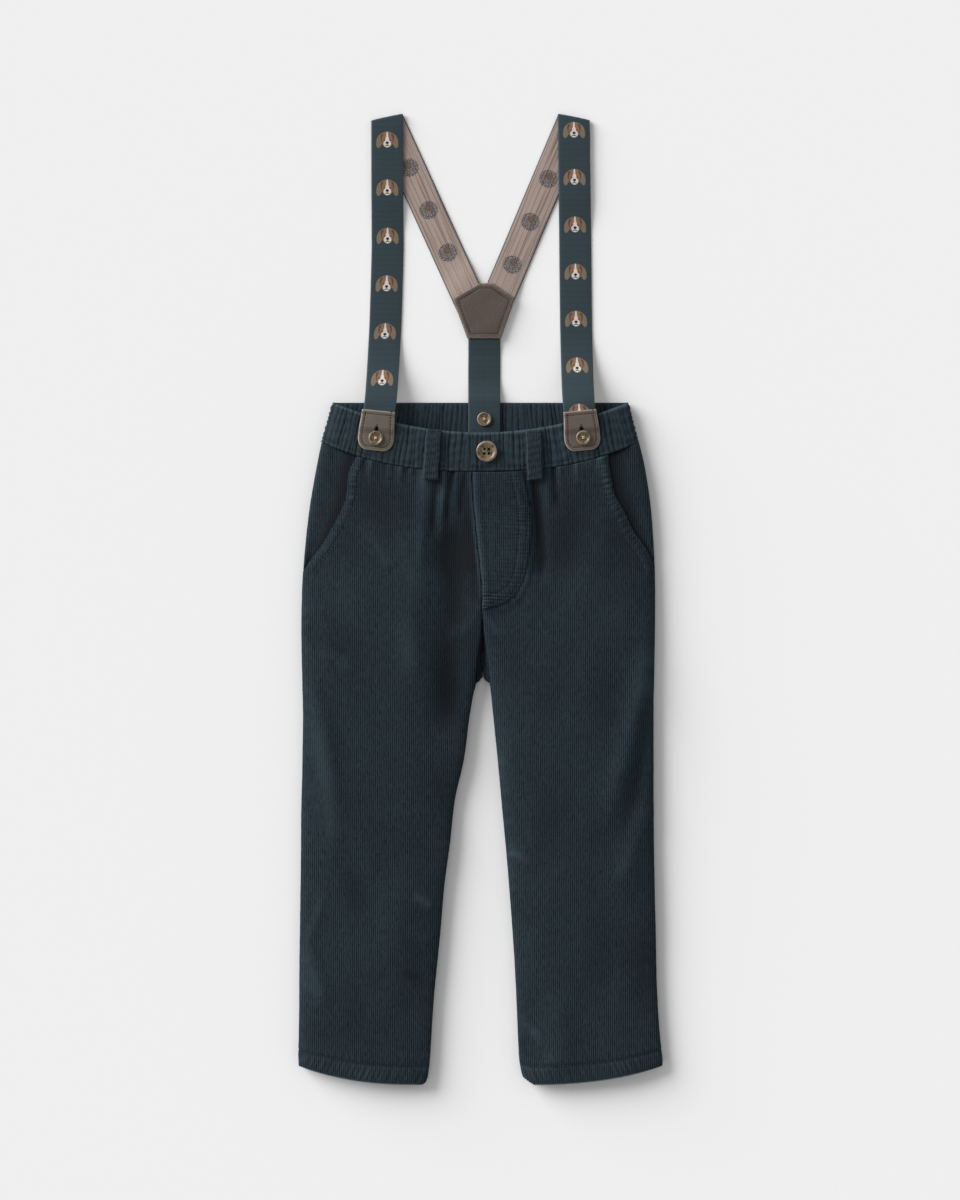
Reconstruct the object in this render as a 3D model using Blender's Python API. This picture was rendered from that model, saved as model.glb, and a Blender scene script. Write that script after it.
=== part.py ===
"""Suspender pants for a small child, laid flat: corduroy trousers with a gathered elastic waist,
two printed elastic straps folded over at the top, leather tabs and yoke, and four sewn buttons.

The frame is that of the laid-out garment: +X to the viewer's right, +Y from the hems to the straps
and +Z up from the surface it lies on, which is z = 0. Left and right are the viewer's. All lengths
are in millimetres until a mesh is made, which is in metres.

The trousers are one flattened tube that forks into two. A section across it has a flat floor with
round corners (the back panels) under a low dome (the front panels). Rows of the panels are named by
their nominal height y, the one at the side seam: towards the middle the waist rows dip, and towards
the inseam the hem rows drop.
"""

import math
from collections import namedtuple

import bmesh
import bpy
from mathutils import Matrix, Vector

MM = 0.001

# Walls and clearances.
GAP = 0.3
CLOTH = 1.5
HEM_WALL = 3.0
HEM_DEPTH = 13.0
BAND_WALL = 2.2
WEBBING = 1.4
LEATHER = 1.2

# Heights down the garment, measured at the side seam.
BAND_TOP = 153.0
WAIST = 122.0
POCKET_END = 21.0
POCKET_TUCK = 6.0
FACING_ENDS_ABOVE = 5.0
FACING_DEEPENS = 1.9
FACING_DEEPENS_OVER = 10.0
CROTCH = -20.7
FORK = -64.0
HEM = -364.5

# How far the middle of the front drops below the sides, and how the curve runs.
BAND_TOP_DIP = 23.8
BAND_TOP_POWER = 2.0
WAIST_DIP = 23.4
WAIST_POWER = 2.5
WAIST_DIP_ENDS = 60.0
HEM_DROP = 14.8
HEM_DROP_POWER = 2.5
HEM_DROP_STARTS = -300.0

# The section: height of the side seam over the floor, and how square the dome is.
SEAM_HEIGHT = 5.5
DOME_POWER = 2.8
FORK_BEGINS = 10.0
FORK_ENDS = -85.0
FLANK_BEGINS = -6.0
FLANK_ENDS = -24.0
CENTRE_BACK = 1.5
SEAT_STEP = 3.0
FOLDS_FADE_FROM = 0.3
FOLDS_FADE_OVER = 0.5

# How finely each piece is divided, and where its points crowd together.
FRONT_COLUMNS = 19
EVEN_WEIGHT = 0.45
FORKED_WEIGHT = 0.55
FORKED_OVER = 30.0
SEAM_EASES_OVER = 12.0
SIDE_ANGLES = (4.0, 32.0, 61.0, 90.0)
FLOOR_SHARES = (0.2, 0.4, 0.6, 0.8)
FLANK_ANGLES = (90.0, 60.0, 28.0)
FACING_SHARES = (0.0, 0.12, 0.35, 0.65, 1.0)
FACING_SINKS_OVER = 0.6
FLY_COLUMNS = 6
FLY_FROM_SEAM = 0.6
BAND_SAMPLES = 241
CORNER_SAMPLES = 12
FRONT_BAND_ROWS = 4
BACK_BAND_ROWS = 3
LOOP_ROWS = 7
TAB_COLUMNS = 6
FOLD_TURNS = 7

# Gathers of the elastic waist.
FRONT_GATHERS = 56
BACK_GATHERS = 50
GATHER_DEPTH = 0.8

# What lies on the front: its height over the bare front surface.
ON_BAND = GATHER_DEPTH + GAP
ON_CLOTH = GAP

STRAP_WIDTH = 25.0
STRAP_LIFT = 2.2
YOKE_BED = LEATHER + GAP
YOKE_RISE_FROM = 0.76
YOKE_RISE_OVER = 0.14
DIAGONAL_SHARES = (0.06, 0.2, 0.4, 0.6, 0.78, 0.86, 0.93, 1.0)
# A strap's stations turn parallel to the fold's line over this length, and stop short of it by this.
SKEW_OVER = 40.0
STOP_SHORT = 11.0

Row = namedtuple("Row", "y left inner_left inner_right right crest")
OUTLINE = (
    Row(155.0, -115.2, -6.6, -6.6, 115.2, 15.5),
    Row(136.0, -120.4, -6.6, -6.6, 119.8, 16.0),
    Row(122.0, -124.4, -6.6, -6.6, 123.6, 16.2),
    Row(103.4, -128.3, -6.4, -6.4, 128.0, 16.5),
    Row(76.8, -133.0, -5.6, -5.6, 132.2, 16.5),
    Row(45.6, -136.9, -2.8, -2.8, 134.9, 16.5),
    Row(14.4, -139.2, 0.3, 0.3, 136.2, 16.3),
    Row(-20.7, -140.0, 1.4, 1.6, 136.2, 16.0),
    Row(-42.0, -139.8, -1.0, 4.2, 135.9, 15.6),
    Row(-64.0, -139.4, -3.4, 6.6, 135.5, 15.2),
    Row(-94.0, -138.8, -8.2, 9.6, 135.3, 14.8),
    Row(-126.0, -139.3, -12.4, 12.8, 135.2, 14.5),
    Row(-157.0, -140.0, -19.4, 15.7, 135.3, 14.2),
    Row(-191.0, -140.4, -23.2, 18.9, 135.7, 14.0),
    Row(-224.0, -140.8, -27.6, 21.7, 136.1, 13.8),
    Row(-265.0, -141.4, -31.2, 24.8, 137.2, 13.4),
    Row(-313.0, -141.7, -36.0, 27.6, 138.5, 13.0),
    Row(-344.0, -142.2, -38.6, 29.3, 140.6, 12.6),
    Row(-360.0, -142.4, -40.4, 31.0, 142.4, 12.2),
    Row(-366.0, -142.2, -42.2, 32.4, 142.2, 12.0),
)

Edge = namedtuple("Edge", "y left right")
# The slanted pocket mouths, by nominal height, from the waist seam to the side seam.
POCKET_MOUTH = (
    Edge(122.0, -96.6, 99.4),
    Edge(106.0, -102.6, 101.4),
    Edge(82.0, -104.6, 105.6),
    Edge(70.0, -108.2, 111.6),
    Edge(53.0, -116.8, 119.0),
    Edge(42.0, -123.4, 127.4),
    Edge(31.0, -132.0, 133.4),
    Edge(21.0, -139.0, 136.2),
)

Curve = namedtuple("Curve", "y x")
# The stitched edge of the mock fly: straight down from the waist and round into the centre seam.
FLY_EDGE = (
    Curve(121.7, 33.9),
    Curve(100.0, 36.3),
    Curve(72.0, 39.0),
    Curve(56.0, 39.9),
    Curve(32.0, 38.1),
    Curve(14.0, 34.7),
    Curve(2.0, 28.0),
    Curve(-4.5, 18.6),
    Curve(-7.6, 7.0),
)

Fold = namedtuple("Fold", "path width height")
# The largest folds of the front: the line each runs along, its half-width, and its height or depth.
FOLDS = (
    Fold(((-20.0, 92.0), (-21.0, 20.0), (-24.0, -60.0), (-30.0, -130.0)), 13.0, -2.6),
    Fold(((-54.0, 70.0), (-54.0, 0.0), (-56.0, -90.0)), 12.0, 1.6),
    Fold(((-139.0, -18.0), (-122.0, -35.0), (-100.0, -54.0)), 6.0, -1.6),
    Fold(((-139.0, -50.0), (-123.0, -95.0), (-117.0, -157.0), (-111.0, -215.0)), 9.0, 2.2),
    Fold(((-140.0, -262.0), (-127.0, -294.0), (-121.0, -325.0)), 7.0, 1.4),
    Fold(((-60.0, -200.0), (-66.0, -270.0), (-70.0, -340.0)), 16.0, 1.2),
    Fold(((137.0, -15.0), (128.0, -63.0), (113.0, -126.0), (95.0, -185.0)), 9.0, 2.4),
    Fold(((138.0, -70.0), (127.0, -126.0), (112.0, -190.0)), 7.0, -1.5),
    Fold(((40.0, 92.0), (44.0, 50.0), (46.0, 10.0)), 7.0, -1.6),
    Fold(((88.0, 60.0), (84.0, -20.0), (78.0, -100.0)), 16.0, 1.2),
    Fold(((28.0, -345.0), (40.0, -353.0), (54.0, -362.0)), 6.0, -1.6),
    Fold(((62.0, -300.0), (64.0, -350.0), (64.0, -372.0)), 12.0, 1.4),
)

Lift = namedtuple("Lift", "y x z")
# Centre lines of the straps' front runs, from under the tab up to the fold; z is the underside,
# and None means that it lies on the front of the waistband.
LEFT_RUN = (
    Lift(133.8, -79.9, None),
    Lift(146.0, -78.7, None),
    Lift(155.0, -77.6, 14.0),
    Lift(167.0, -76.8, 9.6),
    Lift(182.0, -76.0, 4.0),
    Lift(200.0, -75.1, 0.6),
    Lift(217.0, -74.3, 0.0),
    Lift(272.0, -72.7, 0.0),
    Lift(286.0, -72.7, 0.0),
    Lift(300.0, -72.7, 1.2),
    Lift(314.0, -72.8, STRAP_LIFT),
    Lift(350.0, -72.9, STRAP_LIFT),
)
RIGHT_RUN = (
    Lift(133.8, 77.6, None),
    Lift(146.0, 76.8, None),
    Lift(155.0, 76.2, 14.0),
    Lift(167.0, 75.7, 9.6),
    Lift(182.0, 75.4, 4.0),
    Lift(200.0, 75.0, 0.6),
    Lift(217.0, 74.7, 0.0),
    Lift(272.0, 74.1, 0.0),
    Lift(286.0, 74.0, 0.0),
    Lift(300.0, 73.8, 1.2),
    Lift(314.0, 73.6, STRAP_LIFT),
    Lift(350.0, 73.1, STRAP_LIFT),
)
BACK_RUN = (
    Lift(126.0, 2.9, BAND_WALL + ON_BAND),
    Lift(140.0, 2.9, BAND_WALL + ON_BAND),
    Lift(155.0, 2.9, BAND_WALL + ON_BAND),
    Lift(161.0, 2.9, 1.9),
    Lift(170.0, 2.9, 0.2),
    Lift(178.0, 2.9, 0.0),
    Lift(190.0, 3.0, 0.0),
    Lift(197.0, 3.0, 0.8),
    Lift(203.0, 3.0, YOKE_BED),
    Lift(212.0, 3.0, YOKE_BED),
)

Strap = namedtuple("Strap", "name outward run fold_x fold_y tilt inner_length outer_length")
# Past the fold a strap runs down to the yoke, turned by twice the tilt of its fold.
STRAPS = (
    Strap("strap_left", -1, LEFT_RUN, -72.9, 374.9, 12.2, 150.0, 170.0),
    Strap("strap_right", 1, RIGHT_RUN, 72.8, 375.0, 11.4, 150.0, 170.0),
)

Tab = namedtuple("Tab", "name outward x y lean button_x button_y")
TABS = (
    Tab("left", -1, -79.0, 146.0, 6.0, -81.2, 124.7),
    Tab("right", 1, 77.0, 146.0, 5.5, 79.6, 125.0),
)
TAB_LENGTH = 31.0
TAB_TOP_HALF = 12.8
TAB_HALF = 14.0
TAB_END_HALF = 6.5
TAB_ROUND = 9.5
TAB_ROUND_SHARES = (0.3, 0.55, 0.75, 0.9, 1.0)
SLOT_LENGTH = 14.0
SLOT_WIDTH = 1.2
SLOT_DOWN = 17.5
SLOT_CUTTER_HEIGHT = 8.0
STRAP_END_DOWN = 12.6
TAB_STEP = 6.0

Loop = namedtuple("Loop", "name top_x top_y end_x end_y")
LOOPS = (
    Loop("belt_loop_left", -36.4, 131.6, -39.0, 92.0),
    Loop("belt_loop_right", 41.0, 130.6, 42.2, 92.0),
)
LOOP_HALF = 6.0
LOOP_WALL = 2.0
LOOP_LIFT = 1.2
LOOP_STEPS = (-1.0, -0.85, 0.85, 1.0)
LOOP_EDGE_THINNER = 0.5

YOKE_CORNER = 1.5
YOKE = ((-1.8, 245.9), (9.8, 245.9), (26.4, 234.5), (15.8, 203.2), (-9.8, 203.2), (-20.9, 234.2))

FRONT_BUTTON = (4.8, 114.3)
BACK_BUTTON = (2.9, 140.0)
FRONT_BUTTON_RADIUS = 8.2
SMALL_BUTTON_RADIUS = 5.6
BUTTON_SIDES = 20
BUTTON_SHANK = 0.6
BUTTON_THICKNESS = 0.34
HOLE_RADIUS = 0.13
HOLE_DISTANCE = 0.3
HOLE_SIDES = 6

Turn = namedtuple("Turn", "radius height")
# A button's profile from the middle of its underside to the middle of its face, as shares of its
# radius and of its thickness.
BUTTON_PROFILE = (
    Turn(0.0, 0.0),
    Turn(0.55, 0.0),
    Turn(0.95, 0.4),
    Turn(1.0, 0.7),
    Turn(0.9, 1.0),
    Turn(0.7, 0.92),
    Turn(0.55, 0.62),
    Turn(0.0, 0.62),
)

Finish = namedtuple("Finish", "colour roughness")
FINISHES = {
    "corduroy": Finish((0.018, 0.027, 0.034), 0.9),
    "elastic": Finish((0.034, 0.052, 0.062), 0.85),
    "leather": Finish((0.118, 0.086, 0.068), 0.6),
    "horn": Finish((0.120, 0.085, 0.055), 0.35),
}


# ---------------------------------------------------------------- numbers and curves


def smooth(value):
    """0 below 0, 1 above 1, and an even S between them."""
    value = min(1.0, max(0.0, value))
    return value * value * (3.0 - 2.0 * value)


def mix(first, second, share):
    return first + (second - first) * share


def spread(first, last, count):
    """So many numbers, evenly spaced from first to last."""
    return [mix(first, last, index / (count - 1)) for index in range(count)]


def read(table, column, y):
    """A column of a table at height y, on a smooth curve through its rows."""
    rows = sorted((row.y, getattr(row, column)) for row in table)
    y = min(max(y, rows[0][0]), rows[-1][0])
    above = next(index for index in range(1, len(rows)) if y <= rows[index][0])
    (y0, value0), (y1, value1) = rows[above - 1], rows[above]
    before = rows[max(above - 2, 0)]
    after = rows[min(above + 1, len(rows) - 1)]
    slope0 = (value1 - before[1]) / (y1 - before[0])
    slope1 = (after[1] - value0) / (after[0] - y0)
    step = y1 - y0
    share = (y - y0) / step
    return (
        value0 * (1 + 2 * share) * (1 - share) ** 2
        + slope0 * step * share * (1 - share) ** 2
        + value1 * (3 - 2 * share) * share**2
        + slope1 * step * (share - 1) * share**2
    )


def even(path, count):
    """The same line through so many points, evenly spaced along its length."""
    lengths = [0.0]
    for start, end in zip(path, path[1:]):
        lengths.append(lengths[-1] + (end - start).length)
    points = []
    segment = 1
    for target in spread(0.0, lengths[-1], count):
        while segment < len(path) - 1 and lengths[segment] < target:
            segment += 1
        run = lengths[segment] - lengths[segment - 1]
        points.append(path[segment - 1].lerp(path[segment], (target - lengths[segment - 1]) / run))
    return points


# ---------------------------------------------------------------- the front surface


def column_of(outward, stem):
    return stem + ("left" if outward < 0 else "right")


def side_x(outward, y):
    """X of the side seam on one side."""
    return read(OUTLINE, column_of(outward, ""), y)


def inner_x(outward, y):
    """X of the centre seam above the crotch, and of the inseam below it."""
    return read(OUTLINE, column_of(outward, "inner_"), y)


def dome(share):
    """Height of the section, 1 in the middle and 0 at both ends, where it stands upright."""
    return max(0.0, 1.0 - min(1.0, abs(share)) ** DOME_POWER) ** (1.0 / DOME_POWER)


def fold_relief(x, y):
    """How far the folds raise or sink the front at this place."""
    total = 0.0
    place = Vector((x, y))
    for fold in FOLDS:
        points = [Vector(point) for point in fold.path]
        nearest = (1e9, 0.0)
        for index, (start, end) in enumerate(zip(points, points[1:])):
            run = end - start
            share = min(1.0, max(0.0, (place - start).dot(run) / run.length_squared))
            distance = (start + run * share - place).length
            nearest = min(nearest, (distance, (index + share) / (len(points) - 1)))
        distance, along = nearest
        taper = smooth(along * 4.0) * smooth((1.0 - along) * 4.0)
        total += fold.height * taper * math.exp(-((distance / fold.width) ** 2))
    return total


def front_height(outward, x, y):
    """Height of the front's outer surface: one dome over the hips, one over each leg."""
    left, right = side_x(-1, y), side_x(1, y)
    outer, inner = side_x(outward, y), inner_x(outward, y)
    hips = dome((2 * x - left - right) / (right - left))
    leg = dome((2 * x - outer - inner) / (outer - inner))
    forked = smooth((FORK_BEGINS - y) / (FORK_BEGINS - FORK_ENDS))
    rise = mix(hips, leg, forked)
    relief = fold_relief(x, real_y(outward, x, y)) * smooth((rise - FOLDS_FADE_FROM) / FOLDS_FADE_OVER)
    return mix(SEAM_HEIGHT, read(OUTLINE, "crest", y), rise) + relief


def waist_dip(x, y):
    """How far the waist rows hang below their height at the side."""
    left, right = side_x(-1, y), side_x(1, y)
    share = min(1.0, abs(2 * x - left - right) / (right - left))
    seam = WAIST_DIP * (1.0 - share**WAIST_POWER)
    edge = BAND_TOP_DIP * (1.0 - share**BAND_TOP_POWER)
    fade = smooth((y - WAIST_DIP_ENDS) / (WAIST - WAIST_DIP_ENDS))
    return fade * mix(seam, edge, min(1.2, max(0.0, (y - WAIST) / (BAND_TOP - WAIST))))


def hem_drop(outward, x, y):
    """How far the hem rows drop towards the inseam."""
    outer, inner = side_x(outward, y), inner_x(outward, y)
    share = min(1.0, max(0.0, (x - outer) / (inner - outer)))
    fade = smooth((HEM_DROP_STARTS - y) / (HEM_DROP_STARTS - HEM))
    return fade * HEM_DROP * (1.0 - (1.0 - share) ** HEM_DROP_POWER)


def real_y(outward, x, y):
    return y - waist_dip(x, y) - hem_drop(outward, x, y)


def nominal_y(x, y):
    """The row that passes through a real place near the waist."""
    row = y
    for _ in range(6):
        row = y + waist_dip(x, row)
    return row


def front_normal(outward, x, y):
    """Outward direction of the front's section, in the plane across the garment."""
    step = 0.4
    outer, inner = side_x(outward, y), inner_x(outward, y)
    low = max(min(outer, inner), x - step)
    high = min(max(outer, inner), x + step)
    rise = front_height(outward, high, y) - front_height(outward, low, y)
    return Vector((-rise, 0.0, high - low)).normalized()


def front_point(outward, x, y, offset):
    """A point over the front's outer surface, or under it where offset is negative."""
    base = Vector((x, real_y(outward, x, y), front_height(outward, x, y)))
    return base + front_normal(outward, x, y) * offset


def on_front(x, y, offset):
    """The same for a real place on the upper front."""
    outward = -1 if x < inner_x(1, y) else 1
    return front_point(outward, x, nominal_y(x, y), offset)


def wall_at(y):
    """Thickness of a leg's cloth: the hem is turned up inside."""
    return mix(CLOTH, HEM_WALL, smooth((HEM + HEM_DEPTH - y) / 2.0 + 0.5))


# ---------------------------------------------------------------- meshes


def material_of(name):
    found = bpy.data.materials.get(name)
    if found:
        return found
    made = bpy.data.materials.new(name)
    made.use_nodes = True
    shader = made.node_tree.nodes["Principled BSDF"]
    shader.inputs["Base Color"].default_value = (*FINISHES[name].colour, 1.0)
    shader.inputs["Roughness"].default_value = FINISHES[name].roughness
    return made


def add_object(name, mesh_data, finish, location=(0.0, 0.0, 0.0), rotation=None):
    """A named sub-part from a bmesh in millimetres, placed and parented to the garment."""
    bmesh.ops.scale(mesh_data, vec=(MM, MM, MM), verts=mesh_data.verts)
    bmesh.ops.recalc_face_normals(mesh_data, faces=mesh_data.faces)
    mesh = bpy.data.meshes.new(name)
    mesh_data.to_mesh(mesh)
    mesh_data.free()
    mesh.materials.append(material_of(finish))
    made = bpy.data.objects.new(name, mesh)
    bpy.context.scene.collection.objects.link(made)
    made.parent = GARMENT
    made.location = Vector(location) * MM
    if rotation is not None:
        made.rotation_euler = rotation
    return made


def wall(name, outer, inner, finish):
    """A closed wall between two grids of points: rows of the outer face and of the inner one."""
    built = bmesh.new()
    faces = [[[built.verts.new(point) for point in row] for row in grid] for grid in (outer, inner)]
    rows, columns = len(outer), len(outer[0])
    for row in range(rows - 1):
        for column in range(columns - 1):
            for grid in faces:
                corners = (grid[row][column], grid[row][column + 1])
                built.faces.new((*corners, grid[row + 1][column + 1], grid[row + 1][column]))
    rim = [(0, column) for column in range(columns)]
    rim += [(row, columns - 1) for row in range(1, rows)]
    rim += [(rows - 1, column) for column in range(columns - 2, -1, -1)]
    rim += [(row, 0) for row in range(rows - 2, 0, -1)]
    for (row, column), (next_row, next_column) in zip(rim, rim[1:] + rim[:1]):
        start, end = faces[0][row][column], faces[0][next_row][next_column]
        built.faces.new((start, end, faces[1][next_row][next_column], faces[1][row][column]))
    made = add_object(name, built, finish)
    made.data.shade_smooth()
    made.data.set_sharp_from_angle(angle=math.radians(40.0))
    return made


def cut(target, cutter_mesh, location, rotation):
    """Takes the cutter out of the target; the cutter itself stays as a guide."""
    cutter = add_object(target.name + "_cutter", cutter_mesh, "leather", location, rotation)
    cutter.hide_render = True
    cutter.display_type = "WIRE"
    modifier = target.modifiers.new("cut", "BOOLEAN")
    modifier.operation = "DIFFERENCE"
    modifier.object = cutter


# ---------------------------------------------------------------- trouser panels


def panel_rows(count, mouth_rows):
    """Heights of a panel's rows, closer together where a pocket ends and where the legs part."""
    rows = spread(WAIST - GAP / 2, HEM, count)
    set_rows = [-14.0, CROTCH - 0.4, -30.0, -50.0, FORK + 4.0, FORK, FORK - 4.0, FORK - 12.0]
    set_rows += mouth_rows
    apart = [row for row in rows if all(abs(row - set_row) > 5.0 for set_row in set_rows)]
    return sorted(apart + set_rows, reverse=True)


def front_columns(outer, inner, forked, count):
    """X of a front panel's columns, closer together where the section turns down."""
    places = []
    for share in spread(0.0, 1.0, count):
        at_side = 1.0 - math.cos(share * math.pi / 2.0)
        at_both = (1.0 - math.cos(share * math.pi)) / 2.0
        crowded = mix(mix(at_side, share, EVEN_WEIGHT), at_both, FORKED_WEIGHT * forked)
        places.append(mix(outer, inner, crowded))
    return places


def build_front_panel(outward):
    outer_grid, inner_grid = [], []
    for y in FRONT_ROWS:
        mouth = read(POCKET_MOUTH, column_of(outward, ""), y)
        seam = side_x(outward, y)
        edge = mouth if y > POCKET_END else seam
        edge = max(edge, seam) if outward < 0 else min(edge, seam)
        centre = inner_x(outward, y) + outward * GAP / 2
        forked = smooth((CROTCH - y) / FORKED_OVER)
        below_mouth = smooth((POCKET_END + SEAM_EASES_OVER - y) / SEAM_EASES_OVER)
        outer_row, inner_row = [], []
        for x in front_columns(edge, centre, forked, FRONT_COLUMNS):
            point = front_point(outward, x, y, 0.0)
            normal = front_normal(outward, x, y)
            if x == edge and y <= POCKET_END:
                normal = Vector((outward, 0.0, 0.0))
            point.z += GAP / 2 * (1.0 if y <= POCKET_END else below_mouth)
            outer_row.append(point)
            inner_row.append(point - normal * wall_at(y))
        outer_grid.append(outer_row)
        inner_grid.append(inner_row)
    wall(column_of(outward, "front_"), outer_grid, inner_grid, "corduroy")


def back_section(outward, y):
    """Points and outward directions of a back panel's section, from side seam to inner edge."""
    radius = SEAM_HEIGHT
    side = side_x(outward, y)
    inner = inner_x(outward, y)
    seat = CENTRE_BACK + outward * GAP / 2
    # The inner flank stands at the centre seam until the legs part.
    flank = mix(seat, inner, smooth((FORK + 4.0 - y) / 8.0))
    raised = smooth((FLANK_BEGINS - y) / (FLANK_BEGINS - FLANK_ENDS))
    inner_normal = front_normal(outward, inner, y)
    top = front_height(outward, inner, y) - GAP / 2 - wall_at(y) * inner_normal.z
    points, normals = [], []
    for angle in map(math.radians, SIDE_ANGLES):
        across, down = math.cos(angle), math.sin(angle)
        points.append(Vector((side - outward * radius * (1 - across), 0.0, radius * (1 - down))))
        normals.append(Vector((outward * across, 0.0, -down)))
    normals[0] = Vector((outward, 0.0, 0.0))
    points[0] = Vector((side, 0.0, radius - GAP / 2))
    seat_end = seat + outward * SEAT_STEP * len(FLANK_ANGLES)
    lane_end = mix(seat_end, flank + outward * radius, raised)
    for share in FLOOR_SHARES:
        points.append(Vector((mix(side - outward * radius, lane_end, share), 0.0, 0.0)))
        normals.append(Vector((0.0, 0.0, -1.0)))
    for index, angle in enumerate(map(math.radians, FLANK_ANGLES)):
        across, down = math.cos(angle), math.sin(angle)
        on_floor = Vector((seat_end - outward * SEAT_STEP * index, 0.0, 0.0))
        on_flank = Vector((flank + outward * radius * (1 - across), 0.0, radius * (1 - down)))
        points.append(on_floor.lerp(on_flank, raised))
        normals.append(Vector((-outward * across * raised, 0.0, -mix(1.0, down, raised))).normalized())
    points.append(Vector((seat, 0.0, 0.0)).lerp(Vector((inner, 0.0, top)), raised))
    normals.append(Vector((-outward * raised, 0.0, -(1.0 - raised))).normalized())
    return points, normals


def build_back_panel(outward):
    outer_grid, inner_grid = [], []
    for y in BACK_ROWS:
        points, normals = back_section(outward, y)
        for point in points:
            point.y = y - hem_drop(outward, point.x, y)
        outer_grid.append(points)
        inner_grid.append([point - normal * wall_at(y) for point, normal in zip(points, normals)])
    wall(column_of(outward, "back_"), outer_grid, inner_grid, "corduroy")


def build_pocket_facing(outward):
    """The cloth behind a slanted pocket mouth, tucked under the front panel's edge."""
    end = POCKET_END + FACING_ENDS_ABOVE
    outer_grid, inner_grid = [], []
    for y in [row for row in FRONT_ROWS if row > end] + [end]:
        tucked = CLOTH + 2 * GAP + FACING_DEEPENS * smooth((end - y) / FACING_DEEPENS_OVER + 1.0)
        side = side_x(outward, y)
        opening = abs(side - read(POCKET_MOUTH, column_of(outward, ""), y))
        columns = [(share * opening, share) for share in FACING_SHARES]
        columns.append((opening + POCKET_TUCK, 1.0))
        outer_row, inner_row = [], []
        for across, share in columns:
            x = side - outward * across
            depth = tucked * smooth(share / FACING_SINKS_OVER)
            normal = Vector((outward, 0.0, 0.0)) if share == 0.0 else front_normal(outward, x, y)
            base = front_point(outward, x, y, 0.0)
            base.z += GAP / 2
            outer_row.append(base - normal * depth)
            inner_row.append(base - normal * (depth + CLOTH))
        outer_grid.append(outer_row)
        inner_grid.append(inner_row)
    wall(column_of(outward, "pocket_facing_"), outer_grid, inner_grid, "corduroy")


def build_fly():
    """The mock fly: a facing that lies on the right front, from the centre seam to its J edge."""
    outer_grid, inner_grid = [], []
    for y in [row.y for row in FLY_EDGE]:
        centre = inner_x(1, y) + FLY_FROM_SEAM
        outer_row, inner_row = [], []
        for x in spread(centre, read(FLY_EDGE, "x", y), FLY_COLUMNS):
            outer_row.append(front_point(1, x, y, ON_CLOTH + GAP / 2 + CLOTH))
            inner_row.append(front_point(1, x, y, ON_CLOTH + GAP / 2))
        outer_grid.append(outer_row)
        inner_grid.append(inner_row)
    wall("fly", outer_grid, inner_grid, "corduroy")


# ---------------------------------------------------------------- waistband


def gather_height(index, count):
    """Crests on the odd columns, uneven in height, dying out at both ends."""
    if index % 2 == 0:
        return 0.0
    uneven = 0.8 + 0.2 * math.sin(1.9 * index) * math.cos(0.37 * index)
    return GATHER_DEPTH * uneven * smooth(min(index, count - 1 - index) / 4.0)


def front_band_path(y):
    """Points along a row of the front waistband, from the left side seam to the right one."""
    left, right = side_x(-1, y), side_x(1, y)
    path = []
    for share in spread(0.0, 1.0, BAND_SAMPLES):
        x = mix(left, right, (1.0 - math.cos(share * math.pi)) / 2.0)
        outward = -1 if x < inner_x(1, y) else 1
        path.append(front_point(outward, x, y, 0.0))
    path[0].z += GAP / 2
    path[-1].z += GAP / 2
    return path


def build_front_band():
    count = 2 * FRONT_GATHERS + 1
    outer_grid, inner_grid = [], []
    for y in spread(WAIST + GAP / 2, BAND_TOP, FRONT_BAND_ROWS):
        outer_row, inner_row = [], []
        for index, point in enumerate(even(front_band_path(y), count)):
            outward = -1 if point.x < inner_x(1, y) else 1
            normal = front_normal(outward, point.x, y)
            if index in (0, count - 1):
                normal = Vector((outward, 0.0, 0.0))
            outer_row.append(point + normal * gather_height(index, count))
            inner_row.append(point - normal * BAND_WALL)
        outer_grid.append(outer_row)
        inner_grid.append(inner_row)
    wall("waistband_front", outer_grid, inner_grid, "corduroy")


def back_band_path(y):
    """The same for the back waistband, down a round corner, along the floor and up again."""
    left, right = side_x(-1, y), side_x(1, y)
    radius = SEAM_HEIGHT
    path = []
    for angle in spread(0.0, math.pi / 2, CORNER_SAMPLES):
        path.append(Vector((left + radius * (1 - math.cos(angle)), y, radius * (1 - math.sin(angle)))))
    for angle in spread(math.pi / 2, 0.0, CORNER_SAMPLES):
        path.append(Vector((right - radius * (1 - math.cos(angle)), y, radius * (1 - math.sin(angle)))))
    path[0].z -= GAP / 2
    path[-1].z -= GAP / 2
    return path


def build_back_band():
    count = 2 * BACK_GATHERS + 1
    outer_grid, inner_grid = [], []
    for y in spread(WAIST + GAP / 2, BAND_TOP, BACK_BAND_ROWS):
        path = even(back_band_path(y), count)
        outer_row, inner_row = [], []
        for index, point in enumerate(path):
            before = path[max(index - 1, 0)]
            after = path[min(index + 1, count - 1)]
            inward = Vector((before.z - after.z, 0.0, after.x - before.x)).normalized()
            if index in (0, count - 1):
                inward = Vector((1.0 if index == 0 else -1.0, 0.0, 0.0))
            outer_row.append(point)
            inner_row.append(point + inward * (BAND_WALL + gather_height(index, count)))
        outer_grid.append(outer_row)
        inner_grid.append(inner_row)
    wall("waistband_back", outer_grid, inner_grid, "corduroy")


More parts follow.
